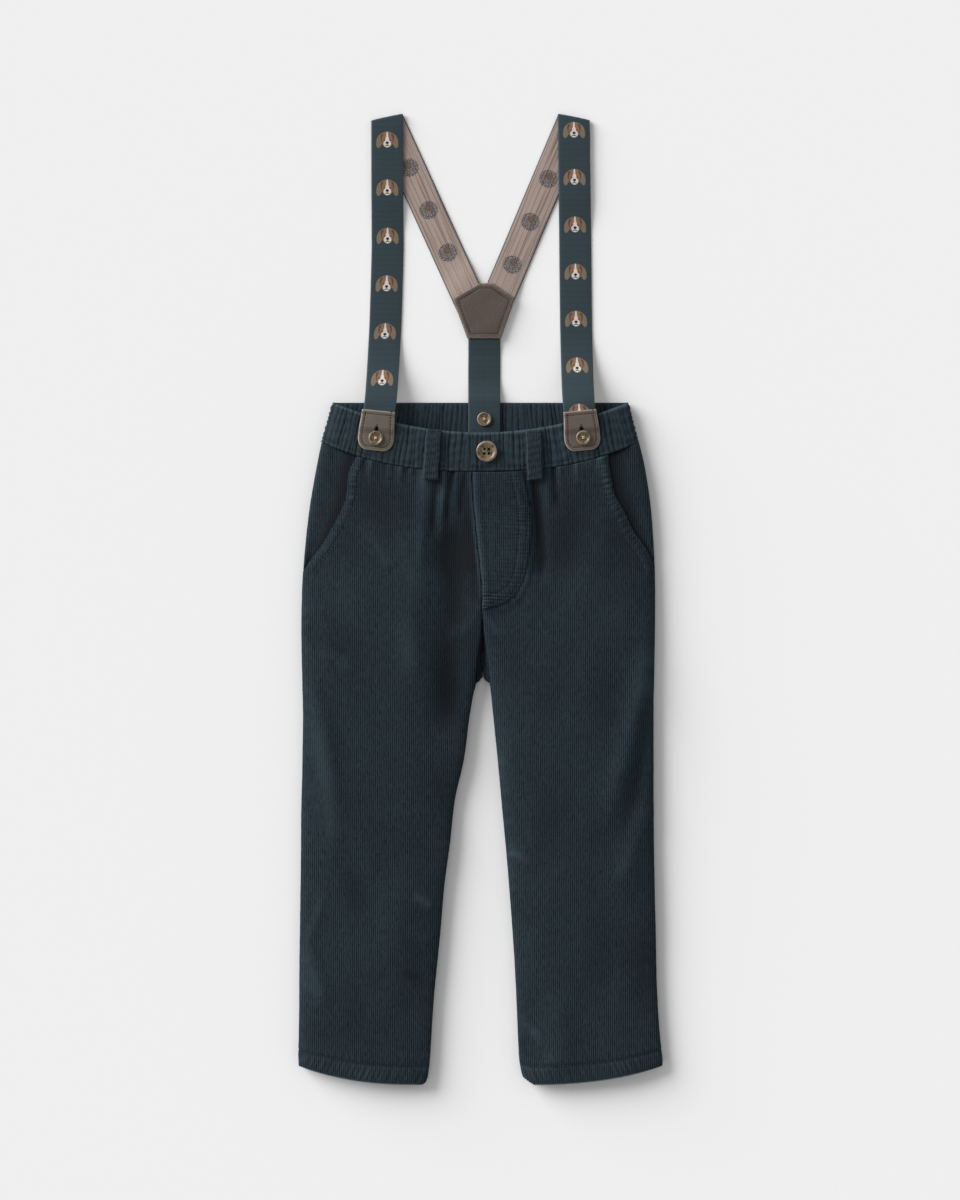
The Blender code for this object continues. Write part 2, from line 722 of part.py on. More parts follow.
def build_belt_loop(loop):
    """A flat loop sewn over the front waistband and a little way on to the panel below."""
    across = Vector((loop.top_y - loop.end_y, loop.end_x - loop.top_x)).normalized()
    outer_grid, inner_grid = [], []
    for share in spread(0.0, 1.0, LOOP_ROWS):
        x = mix(loop.top_x, loop.end_x, share)
        y = mix(loop.top_y, loop.end_y, share)
        lift = ON_BAND + LOOP_LIFT * smooth(share * 4.0)
        outer_row, inner_row = [], []
        for step in LOOP_STEPS:
            place = (x + across.x * step * LOOP_HALF, y + across.y * step * LOOP_HALF)
            thinner = LOOP_EDGE_THINNER if abs(step) == 1.0 else 0.0
            outer_row.append(on_front(*place, lift + LOOP_WALL - thinner))
            inner_row.append(on_front(*place, lift))
        outer_grid.append(outer_row)
        inner_grid.append(inner_row)
    wall(loop.name, outer_grid, inner_grid, "corduroy")


# ---------------------------------------------------------------- straps


def run_underside(run, x, y):
    """Height of a strap's underside at a place on its run."""
    on_band = [row.y for row in run if row.z is None]
    if on_band and y <= max(on_band):
        return on_front(x, y, ON_BAND).z
    free = [row for row in run if row.z is not None]
    if on_band:
        free.insert(0, Lift(max(on_band), x, on_front(x, max(on_band), ON_BAND).z))
    return max(0.0, read(free, "z", y))


def run_heights(run):
    """Heights of a run's stations: its rows and the places halfway between them."""
    heights = [row.y for row in run]
    between = [(lower + upper) / 2 for lower, upper in zip(heights, heights[1:])]
    return sorted(heights + between)


def run_stations(run, heights, skew_end, tilt):
    """Stations up a run: its middle, its half-width vector and its upward direction."""
    half = STRAP_WIDTH / 2
    stations = []
    for y in heights:
        x = read(run, "x", y)
        left, right = run_underside(run, x - half, y), run_underside(run, x + half, y)
        slope = (run_underside(run, x, y + 1.0) - run_underside(run, x, y - 1.0)) / 2.0
        normal = Vector(((left - right) / STRAP_WIDTH, -slope, 1.0)).normalized()
        middle = Vector((x, y, (left + right) / 2)) + normal * WEBBING / 2
        skew = math.tan(tilt) * smooth((y - skew_end + SKEW_OVER) / SKEW_OVER) if skew_end else 0.0
        stations.append((middle, Vector((half, half * skew, (right - left) / 2)), normal))
    return stations


def fold_stations(strap, tilt):
    """Stations round the fold at the top, each parallel to the fold's line."""
    top_middle = STRAP_LIFT + WEBBING / 2
    radius = (top_middle - WEBBING / 2) / 2
    line = Vector((1.0, math.tan(tilt), 0.0)) * STRAP_WIDTH / 2
    ahead = Vector((-math.sin(tilt), math.cos(tilt), 0.0))
    stations = []
    for angle in spread(0.0, math.pi, FOLD_TURNS):
        middle = Vector((strap.fold_x, strap.fold_y, top_middle - radius + radius * math.cos(angle)))
        middle += ahead * radius * math.sin(angle)
        stations.append((middle, line, ahead * math.sin(angle) + Vector((0, 0, math.cos(angle)))))
    return stations


def diagonal_stations(strap, tilt):
    """Stations from the fold down to the yoke, where the strap lies with its reverse side up."""
    heading = 2 * tilt - math.pi / 2
    ahead = Vector((math.cos(heading), math.sin(heading), 0.0))
    line = Vector((1.0, math.tan(tilt), 0.0)) * STRAP_WIDTH / 2
    fold = Vector((strap.fold_x, strap.fold_y, WEBBING / 2))
    lengths = (strap.outer_length, strap.inner_length)
    if strap.outward > 0:
        lengths = (strap.inner_length, strap.outer_length)
    stations = []
    for share in DIAGONAL_SHARES:
        start = fold - line + ahead * lengths[0] * share
        end = fold + line + ahead * lengths[1] * share
        middle = (start + end) / 2
        middle.z += YOKE_BED * smooth((share - YOKE_RISE_FROM) / YOKE_RISE_OVER)
        stations.append((middle, Vector(((end - start).x, (end - start).y, 0.0)) / 2, Vector((0, 0, -1))))
    return stations


def strap_wall(name, stations):
    outer_grid, inner_grid = [], []
    for middle, half, normal in stations:
        outer_row, inner_row = [], []
        for step in (-1.0, 0.0, 1.0):
            outer_row.append(middle + half * step + normal * WEBBING / 2)
            inner_row.append(middle + half * step - normal * WEBBING / 2)
        outer_grid.append(outer_row)
        inner_grid.append(inner_row)
    wall(name, outer_grid, inner_grid, "elastic")


def build_strap(strap):
    tilt = math.radians(strap.tilt) * -strap.outward
    heights = run_heights(strap.run) + [strap.fold_y - STOP_SHORT]
    stations = run_stations(strap.run, heights, strap.fold_y, tilt)
    stations += fold_stations(strap, tilt) + diagonal_stations(strap, tilt)
    strap_wall(strap.name, stations)


def build_back_strap():
    strap_wall("strap_back", run_stations(BACK_RUN, run_heights(BACK_RUN), None, 0.0))


# ---------------------------------------------------------------- leather


def tab_half(down):
    """Half-width of a tab so far below its top edge."""
    into_round = min(1.0, max(0.0, (down - TAB_LENGTH + TAB_ROUND) / TAB_ROUND))
    side = mix(TAB_TOP_HALF, TAB_HALF, smooth(down / (TAB_LENGTH - TAB_ROUND)))
    return TAB_END_HALF + (side - TAB_END_HALF) * math.sqrt(1.0 - into_round**2)


def tab_place(tab, across, down):
    """Real place of a point on a tab, given across it and down from its top edge."""
    lean = math.radians(tab.lean) * tab.outward
    x = tab.x + across * math.cos(lean) + down * math.sin(lean)
    y = tab.y + across * math.sin(lean) - down * math.cos(lean)
    return x, y


def tab_lift(down):
    """The tab lies on the strap's end at its top and on the waistband at its foot."""
    on_strap = ON_BAND + WEBBING + GAP
    return mix(on_strap, ON_BAND, smooth((down - STRAP_END_DOWN) / TAB_STEP))


def build_tab(tab):
    downs = [0.0, STRAP_END_DOWN / 2, STRAP_END_DOWN, STRAP_END_DOWN + TAB_STEP / 2]
    downs += [STRAP_END_DOWN + TAB_STEP, TAB_LENGTH - TAB_ROUND]
    downs += [TAB_LENGTH - TAB_ROUND * (1.0 - share) for share in TAB_ROUND_SHARES]
    outer_grid, inner_grid = [], []
    for down in downs:
        half = tab_half(down)
        outer_row, inner_row = [], []
        for share in spread(-1.0, 1.0, TAB_COLUMNS):
            place = tab_place(tab, share * half, down)
            outer_row.append(on_front(*place, tab_lift(down) + LEATHER))
            inner_row.append(on_front(*place, tab_lift(down)))
        outer_grid.append(outer_row)
        inner_grid.append(inner_row)
    made = wall("tab_" + tab.name, outer_grid, inner_grid, "leather")
    slot = bmesh.new()
    bmesh.ops.create_cube(slot, size=1.0)
    bmesh.ops.scale(slot, vec=(SLOT_WIDTH, SLOT_LENGTH, SLOT_CUTTER_HEIGHT), verts=slot.verts)
    centre = on_front(*tab_place(tab, 0.0, SLOT_DOWN), ON_BAND)
    cut(made, slot, centre, (0.0, 0.0, math.radians(tab.lean) * tab.outward))


def build_yoke(name, bottom):
    """One of the two leather patches that the three straps are sewn between."""
    built = bmesh.new()
    corners = [built.verts.new((x, y, bottom)) for x, y in YOKE]
    patch = built.faces.new(corners)
    raised = bmesh.ops.extrude_face_region(built, geom=[patch])["geom"]
    lifted = [item for item in raised if isinstance(item, bmesh.types.BMVert)]
    bmesh.ops.translate(built, vec=(0.0, 0.0, LEATHER), verts=lifted)
    upright = [edge for edge in built.edges if abs(edge.verts[0].co.z - edge.verts[1].co.z) > GAP]
    bmesh.ops.bevel(built, geom=upright, offset=YOKE_CORNER, segments=2, profile=0.5, affect="EDGES")
    add_object(name, built, "leather")


# ---------------------------------------------------------------- buttons


def turned(profile, sides):
    """A solid of revolution about Z from (radius, z) pairs that start and end on the axis."""
    built = bmesh.new()
    rings = []
    for radius, z in profile:
        if radius == 0.0:
            rings.append([built.verts.new((0.0, 0.0, z))])
            continue
        turns = [2 * math.pi * side / sides for side in range(sides)]
        rings.append([built.verts.new((radius * math.cos(a), radius * math.sin(a), z)) for a in turns])
    for lower, upper in zip(rings, rings[1:]):
        for side in range(sides):
            after = (side + 1) % sides
            if len(lower) == 1:
                built.faces.new((lower[0], upper[after], upper[side]))
            elif len(upper) == 1:
                built.faces.new((lower[side], lower[after], upper[0]))
            else:
                built.faces.new((lower[side], lower[after], upper[after], upper[side]))
    return built


def build_button(name, radius, point, normal):
    """A four-hole button with a raised rim, its underside on the point."""
    thick = BUTTON_THICKNESS * radius
    profile = [(turn.radius * radius, turn.height * thick) for turn in BUTTON_PROFILE]
    rotation = Vector((0.0, 0.0, 1.0)).rotation_difference(normal).to_euler()
    made = add_object(name, turned(profile, BUTTON_SIDES), "horn", point, rotation)
    made.data.shade_smooth()
    made.data.set_sharp_from_angle(angle=math.radians(40.0))
    holes = bmesh.new()
    for quarter in range(4):
        turn = math.pi / 4 + quarter * math.pi / 2
        place = Vector((math.cos(turn), math.sin(turn), 0.0)) * radius * HOLE_DISTANCE
        bmesh.ops.create_cone(
            holes,
            cap_ends=True,
            segments=HOLE_SIDES,
            radius1=radius * HOLE_RADIUS,
            radius2=radius * HOLE_RADIUS,
            depth=4 * thick,
            matrix=Matrix.Translation(place),
        )
    cut(made, holes, point, rotation)


def build_buttons():
    x, y = FRONT_BUTTON
    base = on_front(x, y, ON_BAND)
    build_button("front_button", FRONT_BUTTON_RADIUS, base, front_normal(1, x, nominal_y(x, y)))
    for tab in TABS:
        place = (tab.button_x, tab.button_y)
        base = on_front(*place, ON_BAND + LEATHER + BUTTON_SHANK)
        normal = front_normal(tab.outward, place[0], nominal_y(*place))
        build_button("tab_button_" + tab.name, SMALL_BUTTON_RADIUS, base, normal)
    x, y = BACK_BUTTON
    base = Vector((x, y, BAND_WALL + ON_BAND + WEBBING + GAP))
    build_button("back_strap_button", SMALL_BUTTON_RADIUS, base, Vector((0.0, 0.0, 1.0)))


# ---------------------------------------------------------------- the garment

FRONT_ROWS = panel_rows(28, [POCKET_END + 19.0, POCKET_END + 9.0, POCKET_END])
BACK_ROWS = panel_rows(20, [])

for left_over in list(bpy.data.objects):
    bpy.data.objects.remove(left_over, do_unlink=True)

GARMENT = bpy.data.objects.new("suspender_pants", None)
bpy.context.scene.collection.objects.link(GARMENT)

for side_sign in (-1, 1):
    build_front_panel(side_sign)
    build_back_panel(side_sign)
    build_pocket_facing(side_sign)
build_fly()
build_front_band()
build_back_band()
for belt_loop in LOOPS:
    build_belt_loop(belt_loop)
for front_strap in STRAPS:
    build_strap(front_strap)
build_back_strap()
for leather_tab in TABS:
    build_tab(leather_tab)
build_yoke("yoke_patch_outer", 0.0)
build_yoke("yoke_patch_inner", YOKE_BED + WEBBING + GAP)
build_buttons()
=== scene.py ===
"""The looks of a small child's suspender pants, laid flat on a pale floor.

Fine corduroy trousers with a gathered elastic waist, printed elastic straps on leather tabs and a
leather yoke, sewing and buttons. Lengths are in millimetres in every table and function, and become
metres where a mesh is made. Left and right are the viewer's. The trousers are one flattened tube that
forks: rows are named by their nominal height y at the side seam, and dip towards the middle of the
waist and drop towards the inseams at the hem.
"""

import math
from collections import namedtuple

import bmesh
import bpy
import numpy as np
from mathutils import Matrix, Vector


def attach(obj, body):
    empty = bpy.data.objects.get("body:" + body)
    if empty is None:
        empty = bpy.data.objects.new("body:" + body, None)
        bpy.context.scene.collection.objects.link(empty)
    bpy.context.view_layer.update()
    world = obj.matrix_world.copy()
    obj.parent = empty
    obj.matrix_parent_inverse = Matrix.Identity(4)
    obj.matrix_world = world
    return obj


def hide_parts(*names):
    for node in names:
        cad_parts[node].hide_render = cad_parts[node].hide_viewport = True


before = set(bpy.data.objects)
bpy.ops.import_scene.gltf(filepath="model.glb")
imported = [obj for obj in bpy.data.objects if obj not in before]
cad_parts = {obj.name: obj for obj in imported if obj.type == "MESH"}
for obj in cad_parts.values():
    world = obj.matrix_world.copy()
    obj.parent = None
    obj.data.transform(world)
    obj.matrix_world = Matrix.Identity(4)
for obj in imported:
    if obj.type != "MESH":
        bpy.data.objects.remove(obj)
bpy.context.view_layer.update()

MM = 0.001

# Walls and clearances.
GAP = 0.3
CLOTH = 1.5
HEM_WALL = 3.0
HEM_DEPTH = 13.0
BAND_WALL = 2.2
WEBBING = 1.4
LEATHER = 1.2

# Heights down the garment, measured at the side seam.
BAND_TOP = 153.0
WAIST = 122.0
POCKET_END = 21.0
FORK = -64.0
HEM = -364.5

# How the rows dip towards the middle of the waist and drop towards the inseams at the hem.
BAND_TOP_DIP = 23.8
BAND_TOP_POWER = 2.0
WAIST_DIP = 23.4
WAIST_POWER = 2.5
WAIST_DIP_ENDS = 60.0
HEM_DROP = 14.8
HEM_DROP_POWER = 2.5
HEM_DROP_STARTS = -300.0

# The sections: domes over the hips and the legs, and where one becomes two.
SEAM_HEIGHT = 5.5
DOME_POWER = 2.8
FORK_BEGINS = 10.0
FORK_ENDS = -85.0
FLANK_BEGINS = -6.0
FLANK_ENDS = -24.0
CENTRE_BACK = 1.5
WEBS_APART = -0.2
SEAT_LANE = 9.0

# The points of a back panel's section: round its side corner, along its floor and up its flank.
SIDE_POINTS = 12
LANE_POINTS = 12
FLANK_ANGLES = (90.0, 75.0, 60.0, 44.0, 28.0)

# The heights of the panels' rows, which lie closer together where there is more to shape.
HEM_ROWS = -345.0
FRONT_HEIGHTS = np.concatenate(
    [
        np.arange(WAIST - GAP / 2, POCKET_END, -1.35),
        np.arange(POCKET_END, HEM_ROWS, -4.4),
        np.arange(HEM_ROWS, HEM, -1.6),
        [HEM],
    ]
)
BACK_HEIGHTS = np.concatenate(
    [
        np.arange(WAIST - GAP / 2, 96.0, -2.5),
        np.arange(96.0, -4.0, -6.0),
        np.arange(-4.0, -84.0, -2.5),
        np.arange(-84.0, HEM_ROWS, -6.0),
        np.arange(HEM_ROWS, HEM, -1.8),
        [HEM],
    ]
)

# How far the pieces lie over what is under them.
GATHER_DEPTH = 0.8
ON_BAND = GATHER_DEPTH + GAP
ON_CLOTH = GAP

STRAP_WIDTH = 25.0
STRAP_LIFT = 2.2
YOKE_BED = LEATHER + GAP

SIDE_NAMES = {-1: "left", 1: "right"}

Row = namedtuple("Row", "y left inner_left inner_right right crest")
OUTLINE = (
    Row(155.0, -115.2, -6.6, -6.6, 115.2, 15.5),
    Row(136.0, -120.4, -6.6, -6.6, 119.8, 16.0),
    Row(122.0, -124.4, -6.6, -6.6, 123.6, 16.2),
    Row(103.4, -128.3, -6.4, -6.4, 128.0, 16.5),
    Row(76.8, -133.0, -5.6, -5.6, 132.2, 16.5),
    Row(45.6, -136.9, -2.8, -2.8, 134.9, 16.5),
    Row(14.4, -139.2, 0.3, 0.3, 136.2, 16.3),
    Row(-20.7, -140.0, 1.4, 1.6, 136.2, 16.0),
    Row(-42.0, -139.8, -1.0, 4.2, 135.9, 15.6),
    Row(-64.0, -139.4, -3.4, 6.6, 135.5, 15.2),
    Row(-94.0, -138.8, -8.2, 9.6, 135.3, 14.8),
    Row(-126.0, -139.3, -12.4, 12.8, 135.2, 14.5),
    Row(-157.0, -140.0, -19.4, 15.7, 135.3, 14.2),
    Row(-191.0, -140.4, -23.2, 18.9, 135.7, 14.0),
    Row(-224.0, -140.8, -27.6, 21.7, 136.1, 13.8),
    Row(-265.0, -141.4, -31.2, 24.8, 137.2, 13.4),
    Row(-313.0, -141.7, -36.0, 27.6, 138.5, 13.0),
    Row(-344.0, -142.2, -38.6, 29.3, 140.6, 12.6),
    Row(-360.0, -142.4, -40.4, 31.0, 142.4, 12.2),
    Row(-366.0, -142.2, -42.2, 32.4, 142.2, 12.0),
)

Edge = namedtuple("Edge", "y left right")
POCKET_MOUTH = (
    Edge(122.0, -96.6, 99.4),
    Edge(106.0, -102.6, 101.4),
    Edge(82.0, -104.6, 105.6),
    Edge(70.0, -108.2, 111.6),
    Edge(53.0, -116.8, 119.0),
    Edge(42.0, -123.4, 127.4),
    Edge(31.0, -132.0, 133.4),
    Edge(21.0, -139.0, 136.2),
)
# The mouth's length, how far the facing goes in behind it, and its edge's two rows of stitches.
MOUTH_LENGTH = 118.0
POCKET_TUCK = 6.0
WELT = 8.5
WELT_LIFT = 0.35
WELT_STITCH = 2.0
WELT_SECOND = WELT - 0.9

Curve = namedtuple("Curve", "y x")
FLY_EDGE = (
    Curve(121.7, 33.9),
    Curve(100.0, 36.3),
    Curve(72.0, 39.0),
    Curve(56.0, 39.9),
    Curve(32.0, 38.1),
    Curve(14.0, 34.7),
    Curve(2.0, 28.0),
    Curve(-4.5, 18.6),
    Curve(-7.6, 7.0),
)
# The edge's length, where it begins to curve, and its two rows of stitches.
FLY_EDGE_LENGTH = 150.0
FLY_TURN = 4.0
FLY_STITCH = 3.4
FLY_SECOND = 9.6

Fold = namedtuple("Fold", "path width height")
# The largest folds of the front, as in the solids.
FOLDS = (
    Fold(((-20.0, 92.0), (-21.0, 20.0), (-24.0, -60.0), (-30.0, -130.0)), 13.0, -2.6),
    Fold(((-54.0, 70.0), (-54.0, 0.0), (-56.0, -90.0)), 12.0, 1.6),
    Fold(((-139.0, -18.0), (-122.0, -35.0), (-100.0, -54.0)), 6.0, -1.6),
    Fold(((-139.0, -50.0), (-123.0, -95.0), (-117.0, -157.0), (-111.0, -215.0)), 9.0, 2.2),
    Fold(((-140.0, -262.0), (-127.0, -294.0), (-121.0, -325.0)), 7.0, 1.4),
    Fold(((-60.0, -200.0), (-66.0, -270.0), (-70.0, -340.0)), 16.0, 1.2),
    Fold(((137.0, -15.0), (128.0, -63.0), (113.0, -126.0), (95.0, -185.0)), 9.0, 2.4),
    Fold(((138.0, -70.0), (127.0, -126.0), (112.0, -190.0)), 7.0, -1.5),
    Fold(((40.0, 92.0), (44.0, 50.0), (46.0, 10.0)), 7.0, -1.6),
    Fold(((88.0, 60.0), (84.0, -20.0), (78.0, -100.0)), 16.0, 1.2),
    Fold(((28.0, -345.0), (40.0, -353.0), (54.0, -362.0)), 6.0, -1.6),
    Fold(((62.0, -300.0), (64.0, -350.0), (64.0, -372.0)), 12.0, 1.4),
)
# Smaller creases of the front, which the solids leave out.
CREASES = (
    Fold(((-33.0, 116.0), (-34.5, 92.0), (-36.0, 70.0), (-38.0, 44.0)), 3.0, -1.3),
    Fold(((-21.0, 116.0), (-23.0, 92.0), (-25.0, 74.0), (-27.0, 52.0)), 2.4, -1.1),
    Fold(((-27.0, 116.0), (-28.5, 92.0), (-30.0, 70.0), (-31.0, 38.0)), 3.0, 0.9),
    Fold(((-12.0, 114.0), (-13.5, 94.0), (-15.0, 78.0), (-15.0, 60.0)), 2.4, -0.9),
    Fold(((-43.0, 116.0), (-44.5, 86.0), (-46.0, 54.0), (-47.0, 16.0)), 5.0, 0.8),
    Fold(((40.0, 118.0), (42.0, 96.0), (45.5, 62.0), (48.5, 32.0), (44.0, 2.0)), 3.0, -1.5),
    Fold(((49.0, 116.0), (50.5, 96.0), (52.5, 82.0), (54.0, 64.0)), 2.6, 0.8),
    Fold(((56.0, 116.0), (57.0, 98.0), (58.5, 84.0), (60.0, 66.0)), 2.8, -0.9),
    Fold(((-128.0, -40.0), (-112.0, -46.0), (-98.0, -60.0)), 3.4, 0.9),
    Fold(((-92.0, 60.0), (-78.0, 38.0), (-66.0, 20.0)), 7.0, 0.8),
    Fold(((-122.0, -225.0), (-128.0, -250.0), (-137.0, -270.0)), 4.0, 0.8),
    Fold(((-36.0, -240.0), (-44.0, -236.0), (-54.0, -230.0)), 4.0, 0.9),
    Fold(((-38.0, -268.0), (-47.0, -262.0), (-58.0, -254.0)), 4.0, 0.8),
    Fold(((-41.0, -300.0), (-50.0, -296.0), (-60.0, -290.0)), 4.0, -0.7),
    Fold(((20.0, -196.0), (30.0, -200.0), (44.0, -210.0)), 4.0, 0.7),
    Fold(((24.0, -240.0), (34.0, -246.0), (46.0, -256.0)), 4.0, -0.7),
    Fold(((30.0, -330.0), (40.0, -336.0), (50.0, -346.0)), 3.4, 0.9),
    Fold(((132.0, -150.0), (120.0, -190.0), (104.0, -230.0)), 8.0, 0.9),
    Fold(((0.0, -8.0), (10.0, -22.0), (24.0, -30.0)), 4.0, 0.8),
    Fold(((0.0, -12.0), (-12.0, -24.0), (-28.0, -30.0)), 4.0, 0.7),
)

# Where the pile is painted darker as shade or lighter as highlight, over and above its folds.
PAINTED_SHADES = (
    Fold(((-20.0, 84.0), (-21.0, 20.0), (-24.0, -60.0), (-31.0, -130.0)), 14.0, -0.27),
    Fold(((-134.0, -70.0), (-134.0, -200.0), (-136.0, -330.0)), 9.0, 0.03),
    Fold(((-74.0, 96.0), (-78.0, 20.0)), 26.0, -0.09),
    Fold(((66.0, 96.0), (68.0, 0.0), (70.0, -180.0), (84.0, -330.0)), 26.0, -0.1),
    Fold(((-53.0, 40.0), (-54.0, -20.0), (-56.0, -90.0)), 8.0, 0.13),
    Fold(((-44.0, -150.0), (-54.0, -250.0), (-62.0, -330.0)), 11.0, -0.13),
    Fold(((-96.0, -180.0), (-98.0, -260.0), (-100.0, -340.0)), 9.0, -0.12),
    Fold(((124.0, -60.0), (124.0, -180.0), (127.0, -330.0)), 15.0, -0.22),
    Fold(((20.0, -110.0), (30.0, -220.0), (40.0, -320.0)), 8.0, 0.08),
    Fold(((90.0, -200.0), (92.0, -280.0), (94.0, -340.0)), 12.0, -0.14),
)

# Where the waist seam's gathers begin and end on each panel, and how many there are.
FRONT_GATHERS = {-1: (-92.0, -9.0, 30), 1: (44.0, 96.0, 20)}
BACK_GATHERS = {-1: (-112.0, -6.0, 24), 1: (8.0, 112.0, 24)}
Wrinkle = namedtuple("Wrinkle", "x length width height lean")

# How far up and how far along each hem's inner corner is turned up.
HEM_CORNERS = {-1: (2.5, 4.0), 1: (7.0, 10.0)}

# Puckers beside the sewing. Each row has so many, and some of them lie before the row's start.
Pucker = namedtuple("Pucker", "pitch reach height")
WELT_PUCKERS = Pucker(3.9, 4.0, 0.95)
HEM_ROPES = Pucker(3.9, HEM_DEPTH * 0.42, 0.7)
OVER_HEM = Pucker(5.3, 3.0, 0.3)
INSEAM_PUCKERS = Pucker(9.7, 5.5, 0.6)
SIDE_PUCKERS = Pucker(11.4, 5.0, 0.4)
FLY_PUCKERS = Pucker(3.4, 3.2, 0.5)
PUCKERS = 160
FIRST_PUCKER = 40.0

Lift = namedtuple("Lift", "y x z")
# Centre lines of the straps; z is the underside, and None means that it lies on the waistband.
LEFT_RUN = (
    Lift(133.8, -79.9, None),
    Lift(146.0, -78.7, None),
    Lift(155.0, -77.6, 14.0),
    Lift(167.0, -76.8, 9.6),
    Lift(182.0, -76.0, 4.0),
    Lift(200.0, -75.1, 0.6),
    Lift(217.0, -74.3, 0.0),
    Lift(272.0, -72.7, 0.0),
    Lift(286.0, -72.7, 0.0),
    Lift(300.0, -72.7, 1.2),
    Lift(314.0, -72.8, STRAP_LIFT),
    Lift(350.0, -72.9, STRAP_LIFT),
)
RIGHT_RUN = (
    Lift(133.8, 77.6, None),
    Lift(146.0, 76.8, None),
    Lift(155.0, 76.2, 14.0),
    Lift(167.0, 75.7, 9.6),
    Lift(182.0, 75.4, 4.0),
    Lift(200.0, 75.0, 0.6),
    Lift(217.0, 74.7, 0.0),
    Lift(272.0, 74.1, 0.0),
    Lift(286.0, 74.0, 0.0),
    Lift(300.0, 73.8, 1.2),
    Lift(314.0, 73.6, STRAP_LIFT),
    Lift(350.0, 73.1, STRAP_LIFT),
)
BACK_RUN = (
    Lift(126.0, 2.9, BAND_WALL + ON_BAND),
    Lift(140.0, 2.9, BAND_WALL + ON_BAND),
    Lift(155.0, 2.9, BAND_WALL + ON_BAND),
    Lift(161.0, 2.9, 1.9),
    Lift(170.0, 2.9, 0.2),
    Lift(178.0, 2.9, 0.0),
    Lift(190.0, 3.0, 0.0),
    Lift(197.0, 3.0, 0.8),
    Lift(203.0, 3.0, YOKE_BED),
    Lift(212.0, 3.0, YOKE_BED),
)

Strap = namedtuple(
    "Strap", "name outward run fold_x fold_y tilt inner_length outer_length first_motif motif_step disc_start"
)
STRAPS = (
    Strap("strap_left", -1, LEFT_RUN, -72.9, 374.9, 12.2, 150.0, 170.0, 171.2, 37.36, 41.8),
    Strap("strap_right", 1, RIGHT_RUN, 72.8, 375.0, 11.4, 150.0, 170.0, 181.4, 36.86, 50.8),
)
# The print's pitch on the face and on the reverse, and where its discs end.
MOTIF_STEP = 37.0
DISC_STEP = 36.4
LAST_DISC = 92.0
# How long before its fold a strap begins to slant, and the points of its section.
SKEW_RUN = 40.0
RING = 32

Tab = namedtuple("Tab", "name outward x y lean button_x button_y")
TABS = (
    Tab("left", -1, -79.0, 146.0, 6.0, -81.2, 124.7),
    Tab("right", 1, 77.0, 146.0, 5.5, 79.6, 125.0),
)
TAB_LENGTH = 31.0
TAB_TOP_HALF = 12.8
TAB_HALF = 14.0
TAB_END_HALF = 6.5
TAB_ROUND = 9.5
SLOT_LENGTH = 11.8
SLOT_WIDTH = 1.2
SLOT_DOWN = 18.5
STRAP_END_DOWN = 12.6
TAB_STEP = 6.0
TAB_INSET = 3.0

Loop = namedtuple("Loop", "name top_x top_y end_x end_y")
LOOPS = (
    Loop("belt_loop_left", -36.4, 131.6, -39.0, 92.0),
    Loop("belt_loop_right", 41.0, 130.6, 42.2, 92.0),
)
LOOP_HALF = 6.0
LOOP_WALL = 2.0
LOOP_LIFT = 1.2
LOOP_TACK = 3.2
LOOP_ROWS = 44
LOOP_COLUMNS = 27

YOKE = ((-1.9, 246.3), (9.9, 246.3), (27.0, 234.6), (15.9, 203.2), (-10.3, 203.2), (-21.8, 234.2))
YOKE_INSET = 3.8
YOKE_COLUMNS = 56

FRONT_BUTTON = (4.8, 114.3)
BACK_BUTTON = (2.9, 140.0)
FRONT_BUTTON_RADIUS = 8.2
SMALL_BUTTON_RADIUS = 5.6
BUTTON_SHANK = 0.6
BUTTON_THICKNESS = 0.34
BUTTON_SIDES = 60
HOLES_OUT = 0.3

# The cloth's wales: their pitch, how deep the grooves are, and a groove and two shoulders in each.
WALE = 1.65
WALE_DEPTH = 0.32
WALE_PARTS = (0.0, 0.3, 0.7)
WALE_CRESTS = (0.0, 1.0, 1.0)
EDGE_CREST = 0.6
WALE_REACH = 130
EDGE_MARGIN = 0.12
LEG_MIDDLE = 70.0

# How dark the painted shade and how light the painted highlight on the cloth can go; 0.5 is its own colour.
DARKEST = -0.15
LIGHTEST = 1.15

# The gathered band's lattice, and the length of its halves.
BAND_SEWN = 3.4
BAND_ROWS = 29
BAND_COLUMNS = 497
BAND_HEIGHTS = np.linspace(BAND_TOP, WAIST + GAP / 2, BAND_ROWS)
BAND_WALES = np.tile(np.resize(WALE_CRESTS, BAND_COLUMNS), BAND_ROWS)
FRONT_BAND_LENGTH = 254.0
BACK_BAND_LENGTH = 250.0

SUN_STRENGTH = 5.0
SUN_ANGLE = 46.0
SUN_FROM = (-0.8, 0.54, 0.36)
SKY_STRENGTH = 0.47
FLOOR_COLOUR = (0.845, 0.845, 0.845, 1.0)
FLOOR_REACH = 4000.0
FLOOR_HEIGHT = -0.15
CAMERA_AT = (-0.4, -1.2, 2608.0)
CAMERA_LENS = 100.0


# -------------------------------- numbers and curves


def smooth(value):
    """0 below 0, 1 above 1, and an even S between them."""
    value = np.clip(value, 0.0, 1.0)
    return value * value * (3.0 - 2.0 * value)


def mix(first, second, share):
    return first + (second - first) * share


def bump(distance, width):
    """1 at no distance, falling away evenly over about that width."""
    return np.exp(-((distance / width) ** 2))


